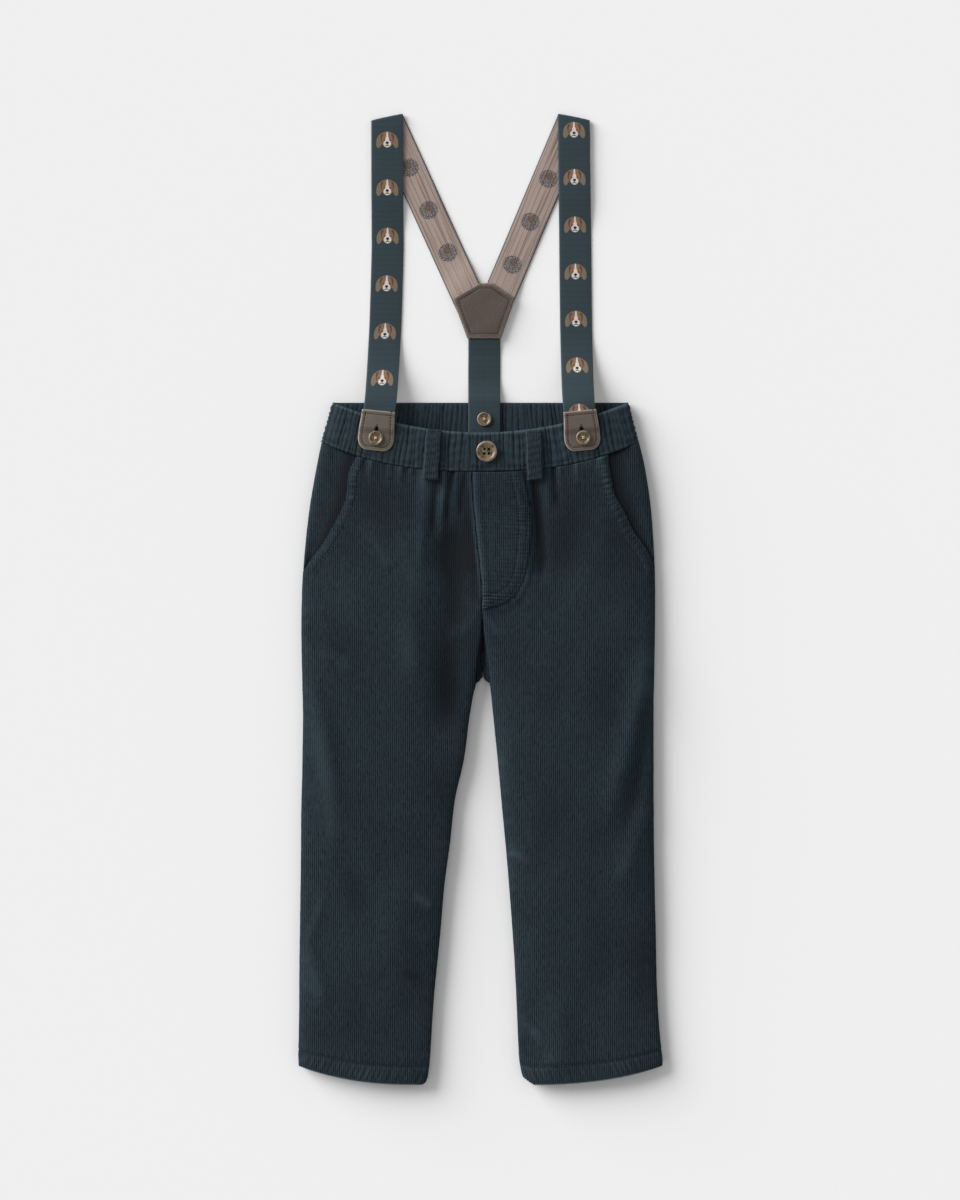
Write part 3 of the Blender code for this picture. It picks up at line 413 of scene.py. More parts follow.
def read(table, column, y):
    """A column of a table at heights y, on a smooth curve through its rows."""
    rows = np.array(sorted((row.y, getattr(row, column)) for row in table))
    heights, values = rows[:, 0], rows[:, 1]
    last = len(heights) - 1
    y = np.clip(y, heights[0], heights[-1])
    above = np.clip(np.searchsorted(heights, y), 1, last)
    before = np.maximum(above - 2, 0)
    after = np.minimum(above + 1, last)
    y0, y1 = heights[above - 1], heights[above]
    value0, value1 = values[above - 1], values[above]
    slope0 = (value1 - values[before]) / (y1 - heights[before])
    slope1 = (values[after] - value0) / (heights[after] - y0)
    step = y1 - y0
    share = (y - y0) / step
    return (
        value0 * (1 + 2 * share) * (1 - share) ** 2
        + slope0 * step * share * (1 - share) ** 2
        + value1 * (3 - 2 * share) * share**2
        + slope1 * step * (share - 1) * share**2
    )


def beside(path, x, y):
    """Distance of each place from a bent line, and how far along the line it is, from 0 to 1."""
    nearest = np.full(np.broadcast(x, y).shape, 1e9)
    along = np.zeros(nearest.shape)
    for index, (start, end) in enumerate(zip(path, path[1:])):
        run_x, run_y = end[0] - start[0], end[1] - start[1]
        share = ((x - start[0]) * run_x + (y - start[1]) * run_y) / (run_x**2 + run_y**2)
        share = np.clip(share, 0.0, 1.0)
        distance = np.hypot(start[0] + run_x * share - x, start[1] + run_y * share - y)
        closer = distance < nearest
        nearest = np.where(closer, distance, nearest)
        along = np.where(closer, (index + share) / (len(path) - 1), along)
    return nearest, along


def relief_of(folds, x, y):
    """How far the folds raise or sink the cloth at these places."""
    total = np.zeros(np.broadcast(x, y).shape)
    for fold in folds:
        distance, along = beside(fold.path, x, y)
        taper = smooth(along * 4.0) * smooth((1.0 - along) * 4.0)
        total += fold.height * taper * bump(distance, fold.width)
    return total


def running_total(steps):
    """0, and then the sum of the steps so far."""
    return np.concatenate([[0.0], np.cumsum(steps)])


def even_count(path, count):
    """The same line through so many points, evenly spaced."""
    lengths = running_total(np.linalg.norm(np.diff(path, axis=0), axis=1))
    targets = np.linspace(0.0, lengths[-1], count)
    return np.stack([np.interp(targets, lengths, path[:, axis]) for axis in range(3)], axis=1)


def even_lengths(points, step):
    """The same line through points a step apart."""
    length = running_total(np.linalg.norm(np.diff(points, axis=0), axis=1))[-1]
    return even_count(points, max(2, int(round(length / step)) + 1))


# -------------------------------- the front surface


def sided(outward, table, stem, y):
    """A column of a table that has a left and a right version."""
    return np.where(np.less(outward, 0), read(table, stem + "left", y), read(table, stem + "right", y))


def side_x(outward, y):
    return sided(outward, OUTLINE, "", y)


def inner_x(outward, y):
    return sided(outward, OUTLINE, "inner_", y)


def dome(share):
    """Height of the section, 1 in the middle and 0 at both ends, where it stands upright."""
    return np.maximum(0.0, 1.0 - np.minimum(1.0, np.abs(share)) ** DOME_POWER) ** (1.0 / DOME_POWER)


def front_height(outward, x, y):
    """Height of the front's outer surface: one dome over the hips, one over each leg."""
    left, right = side_x(-1, y), side_x(1, y)
    outer, inner = side_x(outward, y), inner_x(outward, y)
    hips = dome((2 * x - left - right) / (right - left))
    leg = dome((2 * x - outer - inner) / (outer - inner))
    forked = smooth((FORK_BEGINS - y) / (FORK_BEGINS - FORK_ENDS))
    rise = mix(hips, leg, forked)
    relief = relief_of(FOLDS, x, real_y(outward, x, y)) * smooth((rise - 0.3) * 2.0)
    return mix(SEAM_HEIGHT, read(OUTLINE, "crest", y), rise) + relief


def waist_dip(x, y):
    """How far the waist rows hang below their height at the side."""
    left, right = side_x(-1, y), side_x(1, y)
    share = np.minimum(1.0, np.abs(2 * x - left - right) / (right - left))
    seam = WAIST_DIP * (1.0 - share**WAIST_POWER)
    edge = BAND_TOP_DIP * (1.0 - share**BAND_TOP_POWER)
    fade = smooth((y - WAIST_DIP_ENDS) / (WAIST - WAIST_DIP_ENDS))
    return fade * mix(seam, edge, np.clip((y - WAIST) / (BAND_TOP - WAIST), 0.0, 1.2))


def hem_drop(outward, x, y):
    """How far the hem rows drop towards the inseam."""
    outer, inner = side_x(outward, y), inner_x(outward, y)
    share = np.clip((x - outer) / (inner - outer), 0.0, 1.0)
    fade = smooth((HEM_DROP_STARTS - y) / (HEM_DROP_STARTS - HEM))
    return fade * HEM_DROP * (1.0 - (1.0 - share) ** HEM_DROP_POWER)


def real_y(outward, x, y):
    return y - waist_dip(x, y) - hem_drop(outward, x, y)


def nominal_y(x, y):
    """The row that passes through a real place near the waist."""
    row = y
    for _ in range(6):
        row = y + waist_dip(x, row)
    return row


def front_normal(outward, x, y):
    """Outward direction of the front's section, in the plane across the garment."""
    step = 0.4
    outer, inner = side_x(outward, y), inner_x(outward, y)
    low = np.maximum(np.minimum(outer, inner), x - step)
    high = np.minimum(np.maximum(outer, inner), x + step)
    rise = front_height(outward, high, y) - front_height(outward, low, y)
    length = np.hypot(rise, high - low)
    return np.stack([-rise / length, np.zeros_like(length), (high - low) / length], axis=-1)


def front_points(outward, x, y, offset):
    """Points over the front's outer surface, or under it where offset is negative."""
    base = np.stack([x, real_y(outward, x, y), front_height(outward, x, y)], axis=-1)
    return base + front_normal(outward, x, y) * np.asarray(offset)[..., None]


def on_front(x, y, offset):
    """The same for real places on the upper front."""
    x, y = np.asarray(x, float), np.asarray(y, float)
    outward = np.where(x < inner_x(1, y), -1, 1)
    return front_points(outward, x, nominal_y(x, y), np.broadcast_to(offset, x.shape))


def wall_at(y):
    """Thickness of a leg's cloth: the hem is turned up inside."""
    return mix(CLOTH, HEM_WALL, smooth((HEM + HEM_DEPTH - y) / 2.0 + 0.5))


# -------------------------------- meshes

Lattice = namedtuple("Lattice", "across row faces crest from_low from_high from_edge")


def waled_lattice(low, high):
    """A groove and two shoulders for each wale, cut off at each row's own edges as cloth is cut."""
    wales = np.arange(-WALE_REACH, WALE_REACH)
    columns = ((wales[:, None] + np.array(WALE_PARTS)) * WALE).ravel()
    crests = np.tile(WALE_CRESTS, len(wales))
    firsts = np.searchsorted(columns, low + EDGE_MARGIN)
    lasts = np.searchsorted(columns, high - EDGE_MARGIN) - 1
    across, rows, crest, starts = [], [], [], []
    for row, (first, last) in enumerate(zip(firsts, lasts)):
        starts.append(len(across))
        across += [low[row], *columns[first : last + 1], high[row]]
        crest += [EDGE_CREST, *crests[first : last + 1], EDGE_CREST]
        rows += [row] * (last - first + 3)
    across, rows = np.array(across), np.array(rows)
    faces = lattice_faces(firsts, lasts, starts, len(across))
    from_low, from_high = across - low[rows], high[rows] - across
    from_edge = np.minimum(from_low, from_high)
    return Lattice(across, rows, faces, np.array(crest), from_low, from_high, from_edge)


def lattice_faces(firsts, lasts, starts, count):
    """Quads between the columns that two rows share, and a larger face at each end."""
    ends = [start - 1 for start in starts[1:]] + [count - 1]

    def run(row, first, last, step=1):
        base = starts[row] + 1 - firsts[row]
        return [int(base + column) for column in range(first, last + step, step)]

    faces = []
    for row in range(len(starts) - 1):
        below = row + 1
        start = max(firsts[row], firsts[below])
        end = min(lasts[row], lasts[below])
        upper, lower = run(row, start, end), run(below, start, end)
        low_end = [starts[row], starts[below]] + run(below, firsts[below], start)
        faces.append(low_end + run(row, start, firsts[row], -1))
        faces += [list(quad) for quad in zip(upper, lower, lower[1:], upper[1:])]
        high_end = upper[-1:] + run(below, end, lasts[below]) + [ends[below], ends[row]]
        faces.append(high_end + run(row, lasts[row], end + 1, -1))
    return faces


def grid_of(downs, sides):
    """Every pair of a place down a piece and a place across it, row by row."""
    return (grid.ravel() for grid in np.meshgrid(downs, sides, indexing="ij"))


def grid_faces(rows, columns):
    """Quads between rows of points; rows run down and columns to the right, seen from above."""
    faces = []
    for row in range(rows - 1):
        for column in range(columns - 1):
            start = row * columns + column
            faces.append([start, start + columns, start + columns + 1, start + 1])
    return faces


def tube_faces(rings, sides):
    """Quads between rings of points, and a face at each end."""
    faces = []
    for ring in range(rings - 1):
        for side in range(sides):
            after = (side + 1) % sides
            low, high = ring * sides, (ring + 1) * sides
            faces.append([low + side, low + after, high + after, high + side])
    last = (rings - 1) * sides
    return faces + [list(range(sides))[::-1], list(range(last, last + sides))]


def boundary(faces):
    """Edges that only one face uses, in that face's direction."""
    edges = {(a, b) for face in faces for a, b in zip(face, face[1:] + face[:1])}
    return [(a, b) for a, b in edges if (b, a) not in edges]


def link(piece):
    """Puts an object into the scene."""
    bpy.context.scene.collection.objects.link(piece)
    return piece


def add_piece(name, points, faces, material, layers=None, uv=None):
    """A named mesh object in metres, with values for each point and places in the weave."""
    mesh = bpy.data.meshes.new(name)
    mesh.from_pydata((np.asarray(points) * MM).tolist(), [], faces)
    mesh.materials.append(material)
    for key, values in (layers or {}).items():
        made = mesh.attributes.new(key, "FLOAT", "POINT")
        made.data.foreach_set("value", np.asarray(values, np.float32))
    if uv is not None:
        corners = np.empty(len(mesh.loops), np.int32)
        mesh.loops.foreach_get("vertex_index", corners)
        places = np.asarray(uv, np.float32)[corners]
        mesh.uv_layers.new(name="weave").data.foreach_set("uv", places.ravel())
    mesh.shade_smooth()
    return link(bpy.data.objects.new(name, mesh))


def add_wall(name, faces, outer, inner, material, layers=None):
    """A closed wall between two faces of cloth that share one lattice."""
    count = len(outer)
    rim = [[b, a, a + count, b + count] for a, b in sorted(boundary(faces))]
    lining = [[point + count for point in reversed(face)] for face in faces]
    both = {key: np.tile(values, 2) for key, values in (layers or {}).items()}
    return add_piece(name, np.concatenate([outer, inner]), faces + lining + rim, material, both)


def outwards(piece):
    """Turns every face of a closed mesh outwards."""
    built = bmesh.new()
    built.from_mesh(piece.data)
    bmesh.ops.recalc_face_normals(built, faces=built.faces)
    built.to_mesh(piece.data)
    built.free()


def drop_loose(piece):
    """Removes points that no face uses."""
    built = bmesh.new()
    built.from_mesh(piece.data)
    bmesh.ops.delete(built, geom=[point for point in built.verts if not point.link_faces], context="VERTS")
    built.to_mesh(piece.data)
    built.free()


def settle(piece):
    """Turns a piece's modifiers into plain mesh."""
    graph = bpy.context.evaluated_depsgraph_get()
    mesh = bpy.data.meshes.new_from_object(piece.evaluated_get(graph))
    piece.modifiers.clear()
    piece.data = mesh


def hand_over(piece, slot, *nodes):
    """The piece rides on the garment and stands for these nodes; the slot is not used."""
    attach(piece, "root")
    if nodes:
        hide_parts(*nodes)
    return piece


# -------------------------------- node trees


def put(tree, kind, inputs, **settings):
    """The outputs of a new node with its settings, and its inputs linked or set."""
    made = tree.nodes.new(kind)
    for key, value in settings.items():
        setattr(made, key, value)
    for key, value in inputs.items():
        if isinstance(value, bpy.types.NodeSocket):
            tree.links.new(value, made.inputs[key])
        else:
            made.inputs[key].default_value = value
    return made.outputs


def sum_of(tree, operation, first, second=0.0, third=0.0):
    """The output of one Math node."""
    return put(tree, "ShaderNodeMath", {0: first, 1: second, 2: third}, operation=operation)[0]


def blend(tree, share, first, second, blend_type="MIX"):
    """The output of one node that mixes two colours."""
    mixed = {0: share, 6: first, 7: second}
    return put(tree, "ShaderNodeMix", mixed, data_type="RGBA", blend_type=blend_type)[2]


def step_up(tree, value, low, high):
    """0 below low, 1 above high, and an S between them."""
    limits = {"Value": value, "From Min": low, "From Max": high}
    return put(tree, "ShaderNodeMapRange", limits, interpolation_type="SMOOTHSTEP")["Result"]


def noise(tree, place, scale, detail=2.0, roughness=0.5):
    inputs = {"Vector": place, "Scale": scale, "Detail": detail, "Roughness": roughness}
    return put(tree, "ShaderNodeTexNoise", inputs)["Fac"]


def stretched(tree, place, scale):
    """The same coordinates, scaled differently along each axis."""
    return put(tree, "ShaderNodeMapping", {"Vector": place, "Scale": scale})["Vector"]


def layer(tree, name):
    """The value that each point of a mesh has under this name."""
    return put(tree, "ShaderNodeAttribute", {}, attribute_name=name, attribute_type="GEOMETRY")["Fac"]


def grey(tree, level):
    """A colour with the same level in all three channels."""
    return put(tree, "ShaderNodeCombineColor", {"Red": level, "Green": level, "Blue": level})[0]


def object_place(tree):
    return put(tree, "ShaderNodeTexCoord", {})["Object"]


def new_group(name, inputs, outputs):
    """A shader node group with named sockets, and its two end nodes."""
    group = bpy.data.node_groups.new(name, "ShaderNodeTree")
    for label, kind, value in inputs:
        socket = group.interface.new_socket(label, in_out="INPUT", socket_type="NodeSocket" + kind)
        if value is not None:
            socket.default_value = value
    for label, kind in outputs:
        group.interface.new_socket(label, in_out="OUTPUT", socket_type="NodeSocket" + kind)
    return group, group.nodes.new("NodeGroupInput").outputs, group.nodes.new("NodeGroupOutput").inputs


def use(tree, group, inputs):
    """The outputs of a group placed in a tree with its own values."""
    return put(tree, "ShaderNodeGroup", inputs, node_tree=group)


def new_material(name, roughness, **fixed):
    """A material with its shader; fixed values go on the shader's own sockets."""
    material = bpy.data.materials.new(name)
    material.use_nodes = True
    shader = material.node_tree.nodes["Principled BSDF"]
    shader.inputs["Roughness"].default_value = roughness
    for key, value in fixed.items():
        shader.inputs[key.replace("_", " ").title()].default_value = value
    return material, material.node_tree, shader.inputs


# -------------------------------- shared effects


def mottling_group():
    """Uneven dye: broad clouds and fine flecks over a colour."""
    sockets = (
        ("Place", "Vector", None),
        ("Colour", "Color", (0.5, 0.5, 0.5, 1.0)),
        ("Cloud Scale", "Float", 20.0),
        ("Cloud Amount", "Float", 0.1),
        ("Fleck Scale", "Float", 900.0),
        ("Fleck Amount", "Float", 0.2),
    )
    group, given, out = new_group("uneven dye", sockets, (("Colour", "Color"), ("Fleck", "Float")))
    cloud = noise(group, given["Place"], given["Cloud Scale"], 3.0)
    fleck = noise(group, given["Place"], given["Fleck Scale"], 2.0, 0.7)
    parts = []
    for field, amount in ((cloud, given["Cloud Amount"]), (fleck, given["Fleck Amount"])):
        parts.append(sum_of(group, "MULTIPLY", sum_of(group, "SUBTRACT", field, 0.5), amount))
    level = grey(group, sum_of(group, "ADD", 1.0, sum_of(group, "ADD", *parts)))
    group.links.new(blend(group, 1.0, given["Colour"], level, "MULTIPLY"), out["Colour"])
    group.links.new(fleck, out["Fleck"])
    return group


def height_group():
    """A bump from one height, with its real depth."""
    sockets = (("Height", "Float", 0.0), ("Depth", "Float", 0.0002))
    group, given, out = new_group("surface height", sockets, (("Normal", "Vector"),))
    made = put(group, "ShaderNodeBump", {"Height": given["Height"], "Distance": given["Depth"]})
    group.links.new(made["Normal"], out["Normal"])
    return group


Spot = namedtuple("Spot", "x y half_width half_height turn colour")
EAR = (0.2, 0.145, 0.1, 1.0)
HEAD = (0.235, 0.13, 0.08, 1.0)
BROWN = (0.1, 0.045, 0.026, 1.0)
WHITE = (0.62, 0.58, 0.54, 1.0)
DARK = (0.012, 0.014, 0.016, 1.0)
# The printed face of a puppy, from its ears forwards: each spot is an ellipse in millimetres.
PUPPY = (
    Spot(0.0, 1.2, 6.9, 5.4, 0.0, EAR),
    Spot(-6.3, -0.9, 2.2, 5.2, -10.0, EAR),
    Spot(6.3, -0.9, 2.2, 5.2, 10.0, EAR),
    Spot(-2.9, 0.6, 2.2, 4.4, 12.0, BROWN),
    Spot(2.9, 0.6, 2.2, 4.4, -12.0, BROWN),
    Spot(0.0, 0.5, 4.3, 5.3, 0.0, HEAD),
    Spot(-2.2, -0.2, 0.8, 1.0, 0.0, BROWN),
    Spot(2.2, -0.2, 0.8, 1.0, 0.0, BROWN),
    Spot(0.0, 3.6, 0.75, 3.2, 0.0, WHITE),
    Spot(0.0, 0.2, 1.5, 3.0, 0.0, WHITE),
    Spot(0.0, -2.6, 3.0, 2.9, 0.0, WHITE),
    Spot(0.0, -1.9, 1.25, 0.95, 0.0, DARK),
    Spot(0.0, -3.3, 0.3, 0.9, 0.0, DARK),
    Spot(-0.9, -4.1, 0.9, 0.32, 18.0, DARK),
    Spot(0.9, -4.1, 0.9, 0.32, -18.0, DARK),
)
DISC_BLUE = (0.028, 0.046, 0.066, 1.0)
DISC_BROWN = (0.14, 0.085, 0.05, 1.0)
# The print's ghost on the reverse: a disc, and the brown middle of it.
DISC = Spot(0.0, 0.0, 7.4, 7.2, 0.0, DISC_BLUE)
DISC_MIDDLE = Spot(0.0, -1.8, 2.4, 3.0, 0.0, DISC_BROWN)
SPOT_EDGE = (0.82, 1.18)
PRINT_SOCKETS = (("Ground", "Color", DARK), ("Across", "Float", 0.0), ("Along", "Float", 0.0))


def spot_mask(tree, across, along, spot):
    """1 inside an ellipse and 0 outside it, with a soft printed edge."""
    turn = math.radians(spot.turn)
    x = sum_of(tree, "SUBTRACT", across, spot.x)
    y = sum_of(tree, "SUBTRACT", along, spot.y)
    parts = []
    for first, second, sine, half in (
        (x, y, math.sin(turn), spot.half_width),
        (y, x, -math.sin(turn), spot.half_height),
    ):
        straight = sum_of(tree, "MULTIPLY", first, math.cos(turn))
        turned = sum_of(tree, "MULTIPLY_ADD", second, sine, straight)
        share = sum_of(tree, "DIVIDE", sum_of(tree, "ABSOLUTE", turned), half)
        parts.append(sum_of(tree, "POWER", share, 2.0))
    outside = step_up(tree, sum_of(tree, "ADD", *parts), *SPOT_EDGE)
    return sum_of(tree, "SUBTRACT", 1.0, outside)


def puppy_group():
    """The print on the straps' face, over their ground colour."""
    group, given, out = new_group("puppy print", PRINT_SOCKETS, (("Colour", "Color"),))
    colour = given["Ground"]
    for spot in PUPPY:
        mask = spot_mask(group, given["Across"], given["Along"], spot)
        colour = blend(group, mask, colour, spot.colour)
    group.links.new(colour, out["Colour"])
    return group


def disc_group():
    """The print's ghost on the straps' reverse: a mottled disc with a brown middle."""
    group, given, out = new_group("print showing through", PRINT_SOCKETS, (("Colour", "Color"),))
    across, along = given["Across"], given["Along"]
    place = put(group, "ShaderNodeCombineXYZ", {"X": across, "Y": along})[0]
    broken = step_up(group, noise(group, place, 1.1, 3.0, 0.75), 0.41, 0.56)
    speckled = sum_of(group, "MULTIPLY", spot_mask(group, across, along, DISC), broken)
    middle = sum_of(group, "MULTIPLY", spot_mask(group, across, along, DISC_MIDDLE), 0.75)
    colour = blend(group, speckled, given["Ground"], DISC.colour)
    colour = blend(group, middle, colour, DISC_MIDDLE.colour)
    group.links.new(colour, out["Colour"])
    return group


MOTTLING = mottling_group()
HEIGHT = height_group()
PUPPY_PRINT = puppy_group()
DISC_PRINT = disc_group()


# -------------------------------- finishes

CREST_COLOUR = (0.0205, 0.034, 0.0435, 1.0)
# Painted shade in the grooves between the wales.
PAINTED_GROOVE_SHADE = (0.0045, 0.006, 0.0075, 1.0)
# Painted highlight for the cloth's ridges, and painted shade for its troughs.
PAINTED_HIGHLIGHT_COLOUR = (0.037, 0.058, 0.07, 1.0)
PAINTED_SHADE_COLOUR = (0.0075, 0.0082, 0.0098, 1.0)
WEBBING_COLOUR = (0.03, 0.049, 0.0585, 1.0)
WEBBING_EDGE = (0.075, 0.1, 0.115, 1.0)
REVERSE_COLOUR = (0.385, 0.303, 0.262, 1.0)
REVERSE_STREAK = (0.2, 0.145, 0.125, 1.0)
SELVAGE_COLOUR = (0.09, 0.09, 0.095, 1.0)
LEATHER_COLOUR = (0.1, 0.079, 0.063, 1.0)
CUT_EDGE_COLOUR = (0.25, 0.21, 0.18, 1.0)
PATCH_COLOUR = (0.082, 0.06, 0.05, 1.0)
PATCH_EDGE_COLOUR = (0.2, 0.165, 0.14, 1.0)
HORN_DARK = (0.026, 0.017, 0.011, 1.0)
HORN_LIGHT = (0.215, 0.148, 0.07, 1.0)
HORN_RIM = (0.21, 0.165, 0.12, 1.0)
SEAM_COLOUR = (0.04, 0.058, 0.07, 1.0)
BROWN_COLOUR = (0.03, 0.017, 0.012, 1.0)
GOLD_COLOUR = (0.62, 0.46, 0.24, 1.0)
SHEEN_TINT = (0.5, 0.8, 1.0, 1.0)


def dye(tree, shader, place, colour, clouds, flecks):
    """Dyes the base colour unevenly; clouds and flecks are pairs of scale and amount. Gives the flecks."""
    given = {"Place": place, "Colour": colour, "Cloud Scale": clouds[0], "Cloud Amount": clouds[1]}
    given.update({"Fleck Scale": flecks[0], "Fleck Amount": flecks[1]})
    dyed = use(tree, MOTTLING, given)
    tree.links.new(dyed["Colour"], shader["Base Color"])
    return dyed["Fleck"]


def roughen(tree, shader, height, depth):
    """Raises the surface by a height from 0 to 1, to so many metres."""
    raised = use(tree, HEIGHT, {"Height": height, "Depth": depth})
    tree.links.new(raised["Normal"], shader["Normal"])


def corduroy_finish():
    """Fine wales: light crests between grooves painted dark as shade, a painted highlight on ridges and
    painted shade in troughs, a napped pile and a soft sheen.
    """
    material, tree, shader = new_material("corduroy", 0.92, sheen_weight=0.05, sheen_roughness=0.4)
    shader["Sheen Tint"].default_value = SHEEN_TINT
    shader["Specular IOR Level"].default_value = 0.12
    place = object_place(tree)
    dashes = noise(tree, stretched(tree, place, (1300.0, 210.0, 900.0)), 1.0, 2.0, 0.6)
    uneven = sum_of(tree, "SUBTRACT", dashes, 0.5)
    crest = sum_of(tree, "MULTIPLY_ADD", uneven, 2.1, layer(tree, "wale"))
    # The grooves are painted dark as shade, broken by random dashes of the nap.
    colour = blend(tree, step_up(tree, crest, -0.1, 1.15), PAINTED_GROOVE_SHADE, CREST_COLOUR)
    # Painted light: above 0.5 the stored tone paints a highlight, below it paints shade.
    painted_shading = layer(tree, "painted_shading")
    colour = blend(tree, step_up(tree, painted_shading, 0.5, LIGHTEST), colour, PAINTED_HIGHLIGHT_COLOUR)
    depth = sum_of(tree, "MULTIPLY_ADD", step_up(tree, painted_shading, DARKEST, 0.5), -0.85, 0.85)
    colour = blend(tree, depth, colour, PAINTED_SHADE_COLOUR)
    flecks = dye(tree, shader, place, colour, (26.0, 0.35), (1300.0, 1.1))
    roughen(tree, shader, sum_of(tree, "ADD", dashes, flecks), 0.00025)
    return material


def weave_uv(tree):
    """Across and along the webbing, in millimetres."""
    place = put(tree, "ShaderNodeUVMap", {}, uv_map="weave")["UV"]
    parts = put(tree, "ShaderNodeSeparateXYZ", {"Vector": place})
    return place, parts["X"], parts["Y"]


def centred(tree, value, step):
    """How far a value is from the nearest whole number of steps."""
    shifted = sum_of(tree, "DIVIDE", value, step)
    part = sum_of(tree, "SUBTRACT", shifted, sum_of(tree, "ROUND", shifted))
    return sum_of(tree, "MULTIPLY", part, step)


def wave(tree, value, pitch):
    """A sine wave of a value."""
    return sum_of(tree, "SINE", sum_of(tree, "MULTIPLY", value, 2 * math.pi / pitch))


def elastic_finish(name, printed):
    """Woven elastic: fine ribs across, the print on its face, and a streaky pale reverse."""
    material, tree, shader = new_material(name, 0.85, sheen_weight=0.03, sheen_roughness=0.5)
    shader["Specular IOR Level"].default_value = 0.2
    place, across, along = weave_uv(tree)
    weave = sum_of(tree, "MULTIPLY_ADD", wave(tree, across, 0.8), 0.4, wave(tree, along, 0.95))
    from_middle = sum_of(tree, "ABSOLUTE", across)
    edge = sum_of(tree, "MULTIPLY", step_up(tree, from_middle, 10.9, 11.9), 0.35)
    face = blend(tree, edge, WEBBING_COLOUR, WEBBING_EDGE)
    streaks = noise(tree, stretched(tree, place, (0.55, 0.012, 1.0)), 1.0, 1.0)
    reverse = blend(tree, step_up(tree, streaks, 0.45, 0.72), REVERSE_COLOUR, REVERSE_STREAK)
    reverse = blend(tree, step_up(tree, from_middle, 11.4, 11.9), reverse, SELVAGE_COLOUR)
    if printed:
        local = {"Across": across, "Along": centred(tree, along, MOTIF_STEP)}
        face = use(tree, PUPPY_PRINT, {"Ground": face, **local})["Colour"]
        ghost = use(tree, DISC_PRINT, {"Ground": reverse, **local})["Colour"]
        past_discs = step_up(tree, along, LAST_DISC, LAST_DISC + 1.0)
        reverse = blend(tree, past_discs, ghost, reverse)
    colour = blend(tree, layer(tree, "reverse"), face, reverse)
    limits = {"Value": weave, "From Min": -1.4, "From Max": 1.4, "To Min": 0.78, "To Max": 1.12}
    shade = put(tree, "ShaderNodeMapRange", limits)["Result"]
    colour = blend(tree, 1.0, colour, grey(tree, shade), "MULTIPLY")
    dye(tree, shader, object_place(tree), colour, (30.0, 0.15), (1500.0, 0.4))
    roughen(tree, shader, weave, 0.00008)
    return material


def leather_finish(name, colour, edge_colour):
    """Fine-grained leather, lighter along its cut edge."""
    material, tree, shader = new_material(name, 0.55)
    shader["Specular IOR Level"].default_value = 0.35
    place = object_place(tree)
    cells = put(tree, "ShaderNodeTexVoronoi", {"Vector": place, "Scale": 1100.0})["Distance"]
    rubbed = sum_of(tree, "MULTIPLY_ADD", noise(tree, place, 500.0), 0.6, layer(tree, "cut_edge"))
    worn = blend(tree, step_up(tree, rubbed, 0.5, 1.1), colour, edge_colour)
    flecks = dye(tree, shader, place, worn, (140.0, 0.35), (1200.0, 0.3))
    roughen(tree, shader, sum_of(tree, "ADD", cells, flecks), 0.00012)
    tree.links.new(sum_of(tree, "MULTIPLY_ADD", cells, 0.25, 0.45), shader["Roughness"])
    return material


def horn_finish():
    """Marbled horn resin: a pale rim round a mottled brown and amber middle."""
    material, tree, shader = new_material("horn", 0.32, coat_weight=0.3, coat_roughness=0.2)
    place = object_place(tree)
    marbling = noise(tree, place, 260.0, 3.0, 0.6)
    veins = noise(tree, stretched(tree, place, (900.0, 300.0, 600.0)), 1.0, 2.0)
    swirl = sum_of(tree, "MULTIPLY_ADD", veins, 0.45, sum_of(tree, "MULTIPLY", marbling, 0.7))
    body = blend(tree, step_up(tree, swirl, 0.4, 0.75), HORN_DARK, HORN_LIGHT)
    at_rim = step_up(tree, layer(tree, "rim"), 0.72, 0.92)
    rim = sum_of(tree, "MULTIPLY", at_rim, step_up(tree, marbling, 0.3, 0.6))
    tree.links.new(blend(tree, rim, body, HORN_RIM), shader["Base Color"])
    return material


def thread_finish(name, colour):
    """Twisted sewing thread."""
    material, tree, shader = new_material(name, 0.6)
    shader["Specular IOR Level"].default_value = 0.2
    flecks = dye(tree, shader, object_place(tree), colour, (200.0, 0.3), (2500.0, 0.8))
    roughen(tree, shader, flecks, 0.0001)
    return material


CORDUROY = corduroy_finish()
PRINTED_ELASTIC = elastic_finish("printed_elastic", True)
PLAIN_ELASTIC = elastic_finish("plain_elastic", False)
TAB_LEATHER = leather_finish("tab_leather", LEATHER_COLOUR, CUT_EDGE_COLOUR)
PATCH_LEATHER = leather_finish("patch_leather", PATCH_COLOUR, PATCH_EDGE_COLOUR)
HORN = horn_finish()
SEAM_THREAD = thread_finish("seam_thread", SEAM_COLOUR)
BROWN_THREAD = thread_finish("brown_thread", BROWN_COLOUR)
BUTTON_THREAD = thread_finish("button_thread", GOLD_COLOUR)


# -------------------------------- trouser panels


def corduroy_piece(name, faces, outer, inner, wale, painted_shading):
    """A wall of corduroy that stands for the node of this name."""
    # Each point keeps its place across a wale and how far it is painted lighter as highlight or darker as
    # shade.
    layers = {"wale": wale, "painted_shading": np.clip(painted_shading, DARKEST, LIGHTEST)}
    piece = add_wall(name + "_cloth", faces, outer, inner, CORDUROY, layers)
    return hand_over(piece, "corduroy", name)


def waist_gathers(seed, low, high, count):
    """Short uneven folds that the waist seam gathers, as a list of single wrinkles."""
    chance = np.random.default_rng(seed)
    places = np.linspace(low, high, count) + chance.uniform(-2.0, 2.0, count)
    heights = chance.uniform(0.35, 0.85, count) * chance.choice((-1.0, 1.0, 1.0), count)
    wrinkles = []
    for x, height in zip(places, heights):
        length, width = chance.uniform(10.0, 38.0), chance.uniform(1.3, 2.5)
        wrinkles.append(Wrinkle(x, length, width, height, chance.uniform(-0.08, 0.08)))
    return wrinkles


